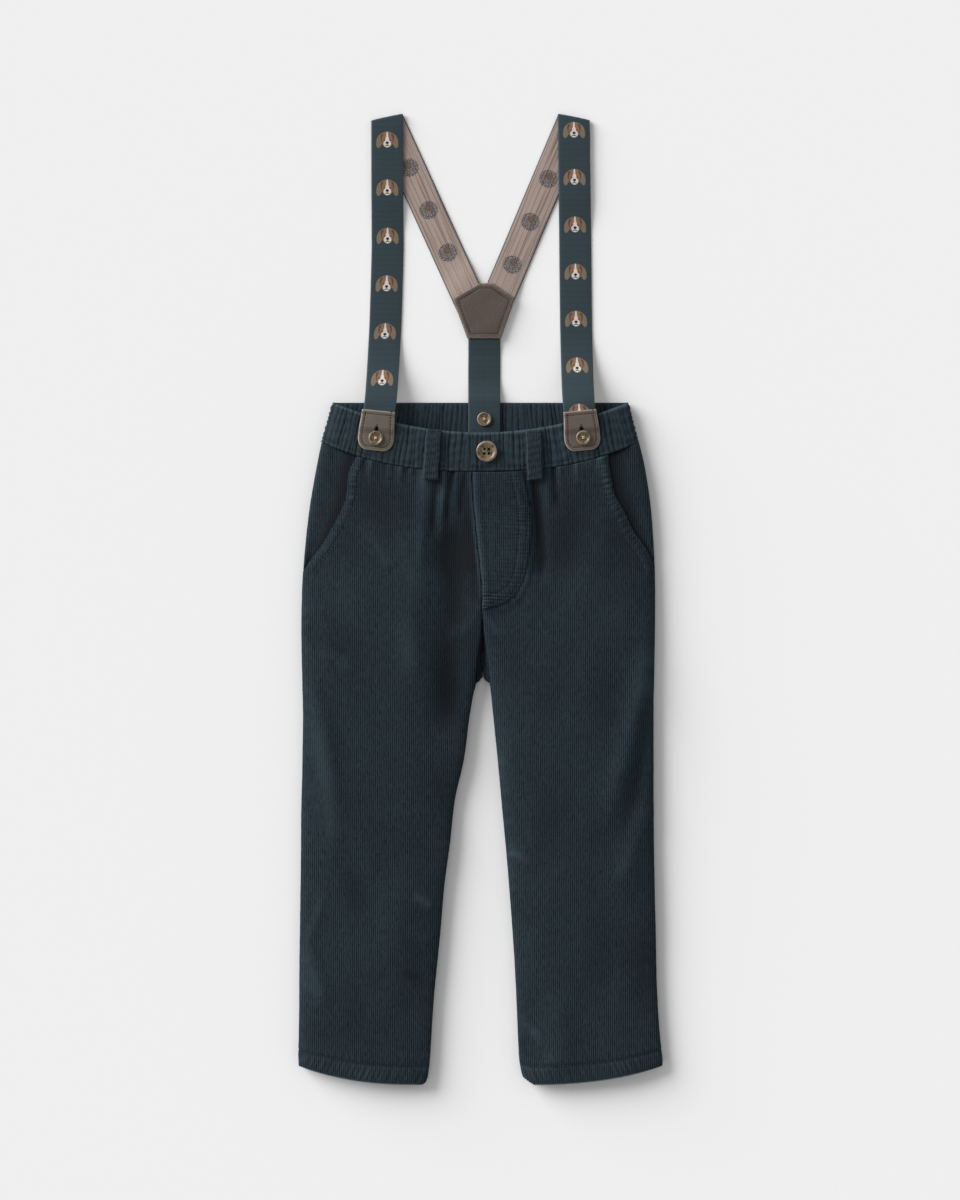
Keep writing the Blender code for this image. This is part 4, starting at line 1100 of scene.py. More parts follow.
def hanging_relief(wrinkles, x, y):
    """Height of wrinkles that start at the waist seam and die away below it."""
    total = np.zeros(np.broadcast(x, y).shape)
    for wrinkle in wrinkles:
        down = (WAIST - y) / wrinkle.length
        centre = wrinkle.x + wrinkle.lean * (WAIST - y)
        strength = np.clip(1.0 - down, 0.0, 1.0) ** 1.3
        width = wrinkle.width * (1.0 + 0.6 * np.clip(down, 0.0, 1.0))
        total += wrinkle.height * strength * bump(x - centre, width)
    return total


def seam_puckers(along, distance, seed, pucker):
    """Uneven puckers along a row of stitches: along runs down the seam, distance away from it."""
    chance = np.random.default_rng(seed)
    sizes = chance.uniform(0.4, 1.0, PUCKERS)
    shifts = chance.uniform(-0.25, 0.25, PUCKERS)
    cell = along / pucker.pitch + FIRST_PUCKER
    index = np.clip(np.floor(cell).astype(int), 0, PUCKERS - 1)
    inside = cell - np.floor(cell) - 0.5 + shifts[index]
    swell = np.cos(np.pi * np.clip(inside, -0.5, 0.5)) ** 2
    return pucker.height * sizes[index] * swell * bump(distance, pucker.reach)


def broad_waves(x, y, seed, height):
    """Low, wide unevenness of cloth that lies loosely."""
    chance = np.random.default_rng(seed)
    total = np.zeros(np.broadcast(x, y).shape)
    for _ in range(7):
        turn, length = chance.uniform(0, math.pi), chance.uniform(26.0, 75.0)
        start = chance.uniform(0, 6.3)
        across = x * math.cos(turn) + 0.6 * y * math.sin(turn)
        total += np.sin(across * 2 * math.pi / length + start)
    return height * total / 3.0


def welt_relief(distance, along, seed):
    """A pocket mouth's stitched edge: two sunk rows of stitches with puckers between them."""
    inside = smooth((WELT + 0.8 - distance) / 1.6)
    grooves = bump(distance - WELT_STITCH, 0.6) + bump(distance - WELT_SECOND, 0.7)
    puckers = seam_puckers(along, distance - WELT * 0.5, seed, WELT_PUCKERS)
    return inside * WELT_LIFT - 0.5 * grooves + puckers - 0.25


def fold_path(outward):
    """The pocket mouth as a line of real places, from the waist down to the side seam."""
    places = []
    for edge in POCKET_MOUTH:
        x = getattr(edge, SIDE_NAMES[outward])
        places.append((x, float(real_y(outward, np.array(x), np.array(edge.y)))))
    return places


def hem_relief(y, x, outward, seed):
    """The turned-up hem: one sunk row of stitches, with a ropy edge below it."""
    up = y - HEM
    groove = bump(up - HEM_DEPTH, 0.8)
    slant = x * outward + up * 0.5
    ropes = seam_puckers(slant, up - HEM_DEPTH * 0.5, seed, HEM_ROPES)
    above = seam_puckers(slant + 1.7, up - HEM_DEPTH - 3.0, seed + 1, OVER_HEM)
    return ropes + above - 0.6 * groove - 0.1


def row_lengths(outward, y, low_x, high_x, samples=260):
    """X of places along a front row, with their lengths along it from the leg's middle."""
    turns = (1.0 - np.cos(np.linspace(0.0, math.pi, samples))) / 2.0
    x = low_x + (high_x - low_x) * turns
    z = front_height(outward, x, np.full(samples, y))
    lengths = running_total(np.hypot(np.diff(x), np.diff(z)))
    middle = np.interp(outward * LEG_MIDDLE, x, lengths)
    return x, lengths - middle


def row_ends(tables):
    """Where the rows of a panel start and end, from tables of places and lengths along each."""
    lows, highs = zip(*((lengths[0], lengths[-1]) for _, lengths in tables))
    return np.array(lows), np.array(highs)


def front_edges(outward, y):
    """X of a front panel's edges: pocket mouth or side seam, and centre seam or inseam."""
    mouth = sided(outward, POCKET_MOUTH, "", y)
    seam = side_x(outward, y)
    edge = np.where(y > POCKET_END, mouth, seam)
    edge = np.maximum(edge, seam) if outward < 0 else np.minimum(edge, seam)
    return edge, inner_x(outward, y) + outward * GAP / 2


def hem_corner(outward, x, y):
    """How far the hem's inner corners are turned up."""
    inset = np.abs(x - inner_x(outward, y))
    size, reach = HEM_CORNERS[outward]
    return size * np.clip(1.0 - inset / reach, 0.0, 1.0) ** 1.2 * smooth((HEM + 22.0 - y) / 22.0)


def hem_teeth(crest, y):
    """The hem's lower edge is finely toothed, because each groove ends a little higher."""
    return 1.1 * (1.0 - crest) * bump(y - HEM, 0.7)


def front_relief(outward, x, y, real):
    """Everything that the corduroy of a front panel does between its wales."""
    lift = relief_of(CREASES, x, real) + broad_waves(x, real, 3 + outward, 0.3)
    lift += hanging_relief(waist_gathers(11 + outward, *FRONT_GATHERS[outward]), x, y)
    distance, along = beside(fold_path(outward), x, real)
    near_mouth = smooth((y - POCKET_END + 4.0) / 6.0)
    lift += near_mouth * welt_relief(distance, along * MOUTH_LENGTH, 21 + outward)
    lift += hem_relief(y, x, outward, 31 + outward)
    inseam = np.abs(x - inner_x(outward, y))
    below_fork = smooth((FORK - y) / 30.0)
    lift += below_fork * seam_puckers(-y, inseam - 2.5, 41 + outward, INSEAM_PUCKERS)
    side = np.abs(x - side_x(outward, y))
    below_pocket = smooth((POCKET_END - y) / 20.0)
    lift += below_pocket * seam_puckers(-y, side - 4.0, 51 + outward, SIDE_PUCKERS)
    if outward > 0:
        lift += beside_fly(x, y)
    return lift


def beside_fly(x, y):
    """The front swells over the fly's edge and sinks beyond it."""
    from_fly, _ = beside([(row.x, row.y) for row in FLY_EDGE], x, y)
    sunk = 0.5 * bump(from_fly - 5.5, 2.4) * smooth((x - inner_x(1, y)) / 20.0)
    return 0.75 * bump(from_fly, 3.2) - sunk


def front_painted_shading(outward, x, y, real, lift):
    """How light the pile is painted: a painted highlight on ridges, painted shade in troughs and beside
    seams.
    """
    painted_shading = 0.5 + 0.085 * relief_of(FOLDS, x, real) + relief_of(PAINTED_SHADES, x, real) + 0.36 * lift
    seam = np.abs(x - inner_x(outward, y))
    if outward < 0:
        above = smooth((y + 6.0) / 8.0)
        # A painted highlight along the centre seam's ridge, and painted shade beside it.
        painted_shading += above * (0.45 * bump(seam - 1.3, 0.9) - 0.25 * bump(seam - 6.0, 4.0))
    up = y - HEM - HEM_DEPTH
    # A painted highlight just under the hem's stitches, and painted shade in their groove.
    return painted_shading + 0.14 * bump(up + 1.8, 1.0) - 0.22 * bump(up, 0.8)


def front_panel(outward):
    """One front panel with its wales, gathers, creases and stitched edges."""
    edge, centre = front_edges(outward, FRONT_HEIGHTS)
    spans = zip(FRONT_HEIGHTS, np.minimum(edge, centre), np.maximum(edge, centre))
    tables = [row_lengths(outward, y, low_x, high_x) for y, low_x, high_x in spans]
    lattice = waled_lattice(*row_ends(tables))
    x = np.empty(len(lattice.across))
    for row, (places, lengths) in enumerate(tables):
        here = lattice.row == row
        x[here] = np.interp(lattice.across[here], lengths, places)
    y = FRONT_HEIGHTS[lattice.row]
    real = real_y(outward, x, y)
    lift = front_relief(outward, x, y, real) * smooth(lattice.from_edge / 3.0)
    painted_shading = front_painted_shading(outward, x, y, real, lift)
    at_centre = np.where(np.abs(x - inner_x(outward, y)) < 4.0, smooth((y + 20.0) / 20.0), 0.0)
    rounding = mix(0.6, 0.15, at_centre) * bump(lattice.from_edge, 1.1)
    lift -= WALE_DEPTH * (1.0 - lattice.crest) + rounding
    outer = front_points(outward, x, y, lift)
    inner = front_points(outward, x, y, np.minimum(0.0, lift * 0.5) - wall_at(y))
    raised = hem_corner(outward, x, y) + hem_teeth(lattice.crest, y)
    below_mouth = smooth((POCKET_END + 12.0 - y) / 12.0)
    seam = GAP / 2 * np.where(y <= POCKET_END, 1.0, below_mouth)
    for face in (outer, inner):
        face[:, 1] += raised
        face[:, 2] += seam
    name = "front_" + SIDE_NAMES[outward]
    return corduroy_piece(name, lattice.faces, outer, inner, lattice.crest, painted_shading)


def round_corner(x, outward, turns):
    """Points of a quarter circle from an upright edge at x down to the floor."""
    inwards = SEAM_HEIGHT * (1 - np.cos(turns))
    return np.stack([x - outward * inwards, SEAM_HEIGHT * (1 - np.sin(turns))], axis=1)


def back_section(outward, y):
    """Points of a back panel's section, from the side seam over the floor to the inner edge."""
    radius = SEAM_HEIGHT
    side, inner = float(side_x(outward, y)), float(inner_x(outward, y))
    seat = CENTRE_BACK + outward * GAP / 2
    flank = mix(seat, inner, float(smooth((FORK + 4.0 - y) / 8.0)))
    raised = float(smooth((FLANK_BEGINS - y) / (FLANK_BEGINS - FLANK_ENDS)))
    inner_normal = front_normal(outward, np.array(inner), np.array(y))
    inseam = float(front_height(outward, np.array(inner), np.array(y)))
    top = inseam - GAP / 2 - float(wall_at(y)) * inner_normal[2]
    corner = round_corner(side, outward, np.radians(np.linspace(0.0, 90.0, SIDE_POINTS)))
    corner[0] = (side, radius - GAP / 2)
    seat_end = seat + outward * SEAT_LANE
    lane_end = mix(seat_end, flank + outward * radius, raised)
    floor = np.linspace(side - outward * radius, lane_end, LANE_POINTS + 2)[1:-1]
    lane = np.stack([floor, np.zeros_like(floor)], axis=1)
    on_floor = np.stack([seat_end - outward * np.linspace(0.0, 6.0, 5), np.zeros(5)], axis=1)
    on_flank = round_corner(flank, -outward, np.radians(FLANK_ANGLES))
    joined = float(smooth((y - FORK + 4.0) / 8.0))
    on_flank[-1, 0] = mix(on_flank[-1, 0], CENTRE_BACK + outward * WEBS_APART, joined)
    last = mix(np.array((seat, 0.0)), np.array((inner, top)), raised)
    return np.concatenate([corner, lane, mix(on_floor, on_flank, raised), last[None, :]])


def back_rows(outward):
    """The section of each row of a back panel, with the lengths along it from the leg's middle."""
    flat = slice(SIDE_POINTS, SIDE_POINTS + LANE_POINTS)
    tables = []
    for y in BACK_HEIGHTS:
        section = back_section(outward, y)
        lengths = running_total(np.hypot(*np.diff(section, axis=0).T))
        middle = np.interp(LEG_MIDDLE, np.abs(section[flat, 0])[::-1], lengths[flat][::-1])
        tables.append((section, lengths - middle))
    return tables


def back_surface(outward, lattice, tables):
    """Where a back panel's points lie in the plane across the garment, and the way out of it there."""
    base, ahead = np.empty((len(lattice.across), 2)), np.empty((len(lattice.across), 2))
    for row, (section, lengths) in enumerate(tables):
        here = lattice.row == row
        slopes = np.diff(section, axis=0) / np.diff(lengths)[:, None]
        middles = (lengths[:-1] + lengths[1:]) / 2
        for axis in range(2):
            base[here, axis] = np.interp(lattice.across[here], lengths, section[:, axis])
            ahead[here, axis] = np.interp(lattice.across[here], middles, slopes[:, axis])
    ahead /= np.linalg.norm(ahead, axis=1)[:, None]
    return base, np.stack([ahead[:, 1], -ahead[:, 0]], axis=1) * -outward


def back_panel(outward):
    """One back panel: its floor, the round corner at the side and the flank at the inseam."""
    tables = back_rows(outward)
    lattice = waled_lattice(*row_ends(tables))
    base, out_of = back_surface(outward, lattice, tables)
    x, y = base[:, 0], BACK_HEIGHTS[lattice.row]
    sink = WALE_DEPTH * (1.0 - lattice.crest) + 0.5 * bump(lattice.from_edge, 1.0)
    sink += back_relief(outward, x, y) * smooth(lattice.from_edge / 3.0)
    to_inner = lattice.from_low if outward > 0 else lattice.from_high
    web = smooth((26.0 - to_inner) / 8.0) * smooth((y - FORK + 12.0) / 8.0)
    flank = smooth((24.0 - to_inner) / 6.0) * smooth((-10.0 - y) / 14.0)
    sink = sink * (1.0 - web) - 0.1 * web
    real = y - hem_drop(outward, x, y) + hem_corner(outward, x, y)
    real += hem_teeth(lattice.crest, y)
    outer, inner = base - out_of * sink[:, None], base - out_of * wall_at(y)[:, None]
    outer, inner = (np.stack([face[:, 0], real, face[:, 1]], axis=1) for face in (outer, inner))
    faces = lattice.faces if outward > 0 else [face[::-1] for face in lattice.faces]
    # Painted shade on the inner flank and where the cloth sinks, and a painted highlight where it rises.
    painted_shading = 0.5 - 0.5 * flank - 0.25 * (sink - 0.4)
    return corduroy_piece("back_" + SIDE_NAMES[outward], faces, outer, inner, lattice.crest, painted_shading)


def back_relief(outward, x, y):
    """How far the hidden side's own gathers, stitched hem and loose waves sink the cloth."""
    gathers = hanging_relief(waist_gathers(61 + outward, *BACK_GATHERS[outward]), x, y)
    hem = 0.35 * bump(y - HEM - HEM_DEPTH, 0.8)
    waves = broad_waves(x, y, 71 + outward, 0.22)
    return np.clip(0.35 + 0.35 * gathers + waves + hem, 0.0, 0.9)


def pocket_facing(outward):
    """The cloth behind a pocket mouth, with its own wales, tucked under the front panel."""
    end = POCKET_END + 5.0
    heights = np.append(np.arange(WAIST - GAP / 2, end, -2.5), end)
    side = side_x(outward, heights)
    mouth = sided(outward, POCKET_MOUTH, "", heights)
    tuck = mouth - outward * POCKET_TUCK
    lattice = waled_lattice(np.minimum(side, tuck), np.maximum(side, tuck))
    x, y = lattice.across, heights[lattice.row]
    opening = np.abs(side - mouth)[lattice.row]
    share = np.clip(np.abs(side[lattice.row] - x) / opening, 0.0, 1.0)
    tucked = CLOTH + 2 * GAP + 1.9 * smooth((end - y) / 10.0 + 1.0)
    depth = tucked * smooth(share / 0.6)
    sink = WALE_DEPTH * (1.0 - lattice.crest) + 0.4 * bump(lattice.from_edge, 1.0)
    sink -= 0.3 * broad_waves(x, y, 81 + outward, 0.5) * smooth(lattice.from_edge / 4.0)
    outer = front_points(outward, x, y, -depth - sink)
    inner = front_points(outward, x, y, -depth - CLOTH)
    outer[:, 2] += GAP / 2
    inner[:, 2] += GAP / 2
    # Painted shade deeper under the mouth, and a painted highlight near the side seam.
    painted_shading = 0.34 - 0.42 * smooth((share - 0.45) / 0.5) + 0.3 * bump(share, 0.25)
    name = "pocket_facing_" + SIDE_NAMES[outward]
    return corduroy_piece(name, lattice.faces, outer, inner, lattice.crest, painted_shading)


def fly_piece():
    """The mock fly: a facing with a J edge, a rounded rim and stitches that draw it into ripples."""
    top, low = FLY_EDGE[0].y, FLY_EDGE[-1].y
    curve = np.arange(FLY_TURN, low, -0.8)
    heights = np.concatenate([np.arange(top, FLY_TURN, -1.5), curve, [low]])
    lattice = waled_lattice(inner_x(1, heights) + 0.6, read(FLY_EDGE, "x", heights))
    x, y = lattice.across, heights[lattice.row]
    from_edge, along = beside([(row.x, row.y) for row in FLY_EDGE], x, y)
    from_edge = np.minimum(from_edge, lattice.from_high)
    rim = 1.0 * bump(from_edge, 1.3) + 0.2 * bump(lattice.from_low, 1.0)
    ripples = 0.6 * np.sin(y * 2 * math.pi / 3.1 + 2.2 * np.sin(y * 0.17) + x * 0.12)
    ripples *= 0.4 + 0.6 * bump(from_edge - 9.0, 10.0)
    grooves = 0.4 * bump(from_edge - FLY_STITCH, 0.6) + 0.45 * bump(from_edge - FLY_SECOND, 0.7)
    ridge = 0.5 * bump(lattice.from_low - 3.5, 2.4)
    puckers = seam_puckers(along * FLY_EDGE_LENGTH, from_edge - 6.4, 91, FLY_PUCKERS)
    lift = ripples * smooth(from_edge / 2.0) + ridge + puckers - grooves - rim
    # Painted light: lighter on raised ripples, puckers and along the left edge, darker in the stitch grooves
    # and over the rounded rim.
    painted_shading = 0.47 + 0.36 * lift + 0.2 * rim * (from_edge < 4.0)
    painted_shading += 0.4 * bump(lattice.from_low - 0.8, 0.8)
    lift = np.clip(lift - WALE_DEPTH * 0.8 * (1.0 - lattice.crest), -1.2, 1.1)
    base = ON_CLOTH + GAP / 2
    outer = front_points(1, x, y, base + CLOTH + lift)
    inner = front_points(1, x, y, np.full(len(x), base))
    return corduroy_piece("fly", lattice.faces, outer, inner, lattice.crest, painted_shading)


# -------------------------------- waistband


def gather_field(count, seed, across, y, pitch):
    """Rounded ribs between narrow grooves, which wander along the band and down it; the grooves are also
    marked to be painted dark as shade.
    """
    chance = np.random.default_rng(seed)
    starts = running_total(chance.uniform(0.62, 1.4, count))
    starts *= across.max() / starts[-1]
    depths = chance.uniform(0.35, 1.0, count + 1)
    lean = chance.uniform(-0.9, 0.9, count + 1)
    fade = chance.uniform(-1.0, 1.0, count + 1)
    share = (y - WAIST) / (BAND_TOP - WAIST)
    height = np.ones_like(across)
    crest = np.ones_like(across)
    for index in range(1, count):
        centre = starts[index] + lean[index] * (share - 0.5) + 0.35 * np.sin(share * 5.0 + index)
        strength = depths[index] * (0.75 + 0.25 * np.sin(share * 4.0 + 3.0 * fade[index]))
        distance = np.abs(across - centre)
        slit = bump(distance, pitch * 0.12)
        height -= strength * (0.62 * bump(distance, pitch * 0.34) + 0.42 * slit)
        # The slits are painted dark as shade, through the cloth's groove colour.
        crest -= strength * 0.8 * slit
    return height, np.clip(crest, 0.0, 1.0)


def band_rim(y):
    """A band's edges roll over: how far its face sinks at the top and at the seam."""
    return 1.3 * bump(BAND_TOP - y, 1.3) + 0.8 * bump(y - WAIST - GAP / 2, 1.1)


def side_bumps(y):
    """Both halves of the band swell out between their gathers at the side seams."""
    return 0.45 * np.sin(y * 2 * math.pi / 3.9 + 1.3 * np.sin(y * 0.4))


def band_piece(name, outer, inner, crest, painted_shading):
    """Half of the waistband, with wales between its gathers."""
    wale = np.clip(crest - 0.3 * (1.0 - BAND_WALES), 0.0, 1.0)
    faces = grid_faces(BAND_ROWS, BAND_COLUMNS)
    return corduroy_piece(name, faces, outer, inner, wale, painted_shading)


def front_band_row(y):
    """Points along a row of the front band, from the left side seam to the right one."""
    left, right = float(side_x(-1, y)), float(side_x(1, y))
    x = mix(left, right, (1.0 - np.cos(np.linspace(0.0, math.pi, 700))) / 2.0)
    outward = np.where(x < inner_x(1, y), -1, 1)
    path = front_points(outward, x, np.full(len(x), y), 0.0)
    path[0, 2] += GAP / 2
    path[-1, 2] += GAP / 2
    return even_count(path, BAND_COLUMNS)


def waistband_front():
    """The front of the gathered waistband, with a rolled top edge painted with a highlight and a sunk seam.
    """
    points = np.concatenate([front_band_row(y) for y in BAND_HEIGHTS])
    x, y = points[:, 0], np.repeat(BAND_HEIGHTS, BAND_COLUMNS)
    normal = front_normal(np.where(x < inner_x(1, y), -1, 1), x, y)
    across = np.tile(np.linspace(0.0, FRONT_BAND_LENGTH, BAND_COLUMNS), BAND_ROWS)
    ribs, crest = gather_field(67, 5, across, y, 3.8)
    calm = 0.55 * bump(x - TABS[0].x, 13.0) + 0.4 * bump(x - FRONT_BUTTON[0], 8.0)
    ribs = mix(ribs, 0.85, calm)
    ends = smooth(np.minimum(across, FRONT_BAND_LENGTH - across) / 5.0)
    sewn = bump(y - WAIST - BAND_SEWN, 0.7)
    lift = (ribs * GATHER_DEPTH * 1.3 - 0.25) * ends - band_rim(y) - 0.12 * (1.0 - BAND_WALES)
    lift -= 0.3 * sewn
    lift += 0.22 * np.sin(y * 2 * math.pi / 7.5 + 1.7 * np.sin(across * 0.21)) * ends
    lift += side_bumps(y) * (1.0 - ends)
    lift = np.minimum(lift, GATHER_DEPTH + 0.12)
    outer = points + normal * lift[:, None]
    inner = points - normal * BAND_WALL
    # Painted light: a highlight on the rib crests, the rolled top edge and just above the seam, and shade in
    # the grooves and along the sewn line.
    ridge = bump(BAND_TOP - y - 0.7, 0.7) + 0.3 * bump(y - WAIST - 1.5, 0.7)
    painted_shading = 0.5 + 0.66 * (ribs - 0.7) * (1.0 - calm) + 0.8 * ridge - 0.3 * sewn
    return band_piece("waistband_front", outer, inner, crest, painted_shading)


def back_band_row(y):
    """A row of the back band: down a round corner, along the floor and up again."""
    turns = np.linspace(0.0, math.pi / 2, 16)
    first = round_corner(float(side_x(-1, y)), -1, turns)
    last = round_corner(float(side_x(1, y)), 1, turns)[::-1]
    path = np.concatenate([first, last])
    path = np.stack([path[:, 0], np.full(len(path), y), path[:, 1]], axis=1)
    path[0, 2] -= GAP / 2
    path[-1, 2] -= GAP / 2
    return even_count(path, BAND_COLUMNS)


def waistband_back():
    """The back of the waistband; its inside shows above the front, gathered in the same way."""
    rows = [back_band_row(y) for y in BAND_HEIGHTS]
    points = np.concatenate(rows)
    ahead = np.concatenate([np.gradient(row, axis=0) for row in rows])
    inward = np.stack([-ahead[:, 2], np.zeros(len(ahead)), ahead[:, 0]], axis=1)
    inward /= np.linalg.norm(inward, axis=1)[:, None]
    y = points[:, 1]
    across = np.tile(np.linspace(0.0, BACK_BAND_LENGTH, BAND_COLUMNS), BAND_ROWS)
    ribs, crest = gather_field(68, 8, across, y, 3.7)
    from_end = np.minimum(across, BACK_BAND_LENGTH - across)
    ends = smooth(from_end / 6.0)
    rim = 0.9 * bump(BAND_TOP - y, 1.2) + 0.5 * bump(y - WAIST - GAP / 2, 1.0)
    lift = BAND_WALL + ribs * GATHER_DEPTH * 1.1 * ends - rim
    underside = 0.3 * bump(BAND_TOP - y, 1.0) + 0.35 * (1.0 - ribs) * ends
    underside -= side_bumps(y) * smooth(1.0 - from_end / 8.0)
    top = points + inward * (lift - 0.12 * (1.0 - BAND_WALES))[:, None]
    bottom = points + inward * underside[:, None]
    # Painted light: the inside is painted a little darker overall, lighter on the rib crests and darker in
    # the grooves.
    painted_shading = 0.42 + 0.75 * (ribs - 0.66)
    return band_piece("waistband_back", top, bottom, crest, painted_shading)


def loop_ahead(loop):
    """A belt loop's length, and the direction down it."""
    length = math.hypot(loop.top_x - loop.end_x, loop.top_y - loop.end_y)
    return length, np.array((loop.end_x - loop.top_x, loop.end_y - loop.top_y)) / length


def loop_place(loop, ahead, side, down):
    """Real place of a point on a belt loop."""
    x = loop.top_x + ahead[0] * down - ahead[1] * side
    y = loop.top_y + ahead[1] * down + ahead[0] * side
    return x, y


def belt_loop(loop):
    """A folded strip over the band, its wales along it and its end turned under and tacked."""
    length, ahead = loop_ahead(loop)
    downs = np.linspace(0.0, length, LOOP_ROWS)
    down, side = grid_of(downs, np.linspace(-LOOP_HALF, LOOP_HALF, LOOP_COLUMNS))
    sway = 0.25 * np.sin(down * 0.33 + loop.top_x)
    x, y = loop_place(loop, ahead, side + sway, down)
    lift = ON_BAND + LOOP_LIFT * smooth(down / length * 4.0)
    edge = LOOP_HALF - np.abs(side)
    ends = np.minimum(down, length - down)
    tack = bump(length - down - LOOP_TACK, 0.8)
    rise = LOOP_WALL - 0.75 * bump(edge, 1.0) - 0.7 * bump(ends, 1.2)
    rise += 0.18 * np.sin(down * 2 * math.pi / 5.2 + side * 0.25) - 0.35 * tack
    rise -= 0.3 * bump(down - 3.0, 0.8)
    wale = 0.5 + 0.5 * np.cos(side * 2 * math.pi / WALE)
    outer = on_front(x, y, lift + np.minimum(rise + 0.16 * (wale - 1.0), LOOP_WALL + 0.1))
    inner = on_front(x, y, lift)
    faces = grid_faces(LOOP_ROWS, LOOP_COLUMNS)
    # Painted highlight along the loop's rolled edges and painted shade at the sunk tack; its wale grooves are
    # painted dark as shade too.
    painted_shading = 0.5 + 0.35 * (bump(edge - 0.7, 0.6) - tack)
    return corduroy_piece(loop.name, faces, outer, inner, 0.35 + 0.65 * wale, painted_shading)


# -------------------------------- straps

Station = namedtuple("Station", "middle half normal along ahead")
UP_THE_FRONT = Vector((0.0, 1.0, 0.0))


def run_underside(run, x, y):
    """Height of a strap's underside at a place on its run."""
    x, y = np.asarray(x, float), np.asarray(y, float)
    on_band = [row.y for row in run if row.z is None]
    free = [row for row in run if row.z is not None]
    if not on_band:
        return np.maximum(0.0, read(free, "z", y))
    last = max(on_band)
    resting = on_front(x, np.minimum(y, last), ON_BAND)[..., 2]
    start = float(on_front(np.mean(x), last, ON_BAND)[..., 2])
    hanging = np.maximum(0.0, read([Lift(last, 0.0, start), *free], "z", y))
    leaving = on_front(x, np.full_like(y, last), ON_BAND)[..., 2] + hanging - start
    return np.where(y <= last, resting, mix(leaving, hanging, smooth((y - last) / 6.0)))


def run_stations(run, heights, skew_end, tilt, along_of):
    """Stations up a run: its middle, its half-width vector and its upward direction."""
    half = STRAP_WIDTH / 2
    x = read(run, "x", heights)
    left, right = run_underside(run, x - half, heights), run_underside(run, x + half, heights)
    slope = (run_underside(run, x, heights + 1.0) - run_underside(run, x, heights - 1.0)) / 2.0
    stations = []
    for index, y in enumerate(heights):
        normal = Vector(((left[index] - right[index]) / STRAP_WIDTH, -slope[index], 1.0)).normalized()
        middle = Vector((x[index], y, (left[index] + right[index]) / 2)) + normal * WEBBING / 2
        skew = math.tan(tilt) * float(smooth((y - skew_end) / SKEW_RUN + 1.0))
        across = Vector((half, half * skew, (right[index] - left[index]) / 2))
        stations.append(Station(middle, across, normal, along_of(y), UP_THE_FRONT))
    return stations


def down_the_back(tilt):
    """The direction in which a strap runs on after its fold."""
    heading = 2 * tilt - math.pi / 2
    return Vector((math.cos(heading), math.sin(heading), 0.0))


def back_along(strap, gone):
    """Place in the print of a point that lies so far past the fold."""
    return (gone - strap.disc_start) * MOTIF_STEP / DISC_STEP


def fold_line(tilt):
    """Half of the line that a strap folds over, from its middle to its right edge."""
    return Vector((1.0, math.tan(tilt), 0.0)) * STRAP_WIDTH / 2


def fold_stations(strap, tilt, along_of):
    """Stations round the fold at the top, each parallel to the fold's line."""
    radius = STRAP_LIFT / 2
    line, ahead = fold_line(tilt), Vector((-math.sin(tilt), math.cos(tilt), 0.0))
    stations = []
    for angle in np.linspace(0.0, math.pi, 13):
        height = WEBBING / 2 + radius + radius * math.cos(angle)
        middle = Vector((strap.fold_x, strap.fold_y, height)) + ahead * radius * math.sin(angle)
        normal = ahead * math.sin(angle) + Vector((0, 0, math.cos(angle)))
        along, heading = along_of(strap.fold_y), UP_THE_FRONT
        if angle >= math.pi / 2:
            along, heading = back_along(strap, 0.0), down_the_back(tilt)
        stations.append(Station(middle, line, normal, along, heading))
    return stations


def diagonal_stations(strap, tilt):
    """Stations from the fold down to the yoke, where the reverse side is up."""
    line, ahead = fold_line(tilt), down_the_back(tilt)
    fold = Vector((strap.fold_x, strap.fold_y, WEBBING / 2))
    lengths = (strap.outer_length, strap.inner_length)[:: -strap.outward]
    stations = []
    for share in np.linspace(0.03, 1.0, 76):
        start = fold - line + ahead * lengths[0] * share
        end = fold + line + ahead * lengths[1] * share
        middle = (start + end) / 2
        half = (end - start) / 2
        middle.z += YOKE_BED * float(smooth((share - 0.76) / 0.14))
        along = back_along(strap, (middle - fold).dot(ahead))
        stations.append(Station(middle, half, Vector((0, 0, -1)), along, ahead))
    return stations


def strap_ring():
    """A webbing's section: across and up from -1 to 1, flat with rounded edges."""
    places = []
    for turn in np.linspace(0.0, 2 * math.pi, RING, endpoint=False):
        across, up = math.cos(turn), math.sin(turn)
        places.append((across, math.copysign(abs(up) ** 0.55, up) if abs(up) > 1e-9 else 0.0))
    return places


def webbing(name, stations, material):
    """A closed band of webbing through its stations, face side up where it starts."""
    points, weave, reverse = [], [], []
    for station in stations:
        sideways = station.ahead.cross(Vector((0.0, 0.0, 1.0)))
        for across, up in strap_ring():
            from_middle = station.half * across
            points.append(station.middle + from_middle + station.normal * up * WEBBING / 2)
            along = station.along + from_middle.dot(station.ahead)
            weave.append((from_middle.dot(sideways), along))
            reverse.append(1.0 if up < 0 else 0.0)
    faces = tube_faces(len(stations), RING)
    piece = add_piece(name + "_webbing", points, faces, material, {"reverse": reverse}, weave)
    outwards(piece)
    return hand_over(piece, "elastic", name)


def front_strap(strap):
    """A strap from its tab up to the fold and down to the yoke."""
    tilt = math.radians(strap.tilt) * -strap.outward
    top = strap.fold_y
    heights = np.append(np.arange(strap.run[0].y, top - 13.0, 1.8), top - 11.0)

    def along(y):
        return (y - strap.first_motif) * MOTIF_STEP / strap.motif_step

    stations = run_stations(strap.run, heights, top, tilt, along)
    stations += fold_stations(strap, tilt, along) + diagonal_stations(strap, tilt)
    return webbing(strap.name, stations, PRINTED_ELASTIC)


def back_strap():
    """The plain strap from the waistband's button up to the yoke."""
    heights = np.arange(BACK_RUN[0].y, BACK_RUN[-1].y + 0.01, 1.2)
    stations = run_stations(BACK_RUN, heights, 0.0, 0.0, lambda y: y)
    return webbing("strap_back", stations, PLAIN_ELASTIC)


# -------------------------------- leather


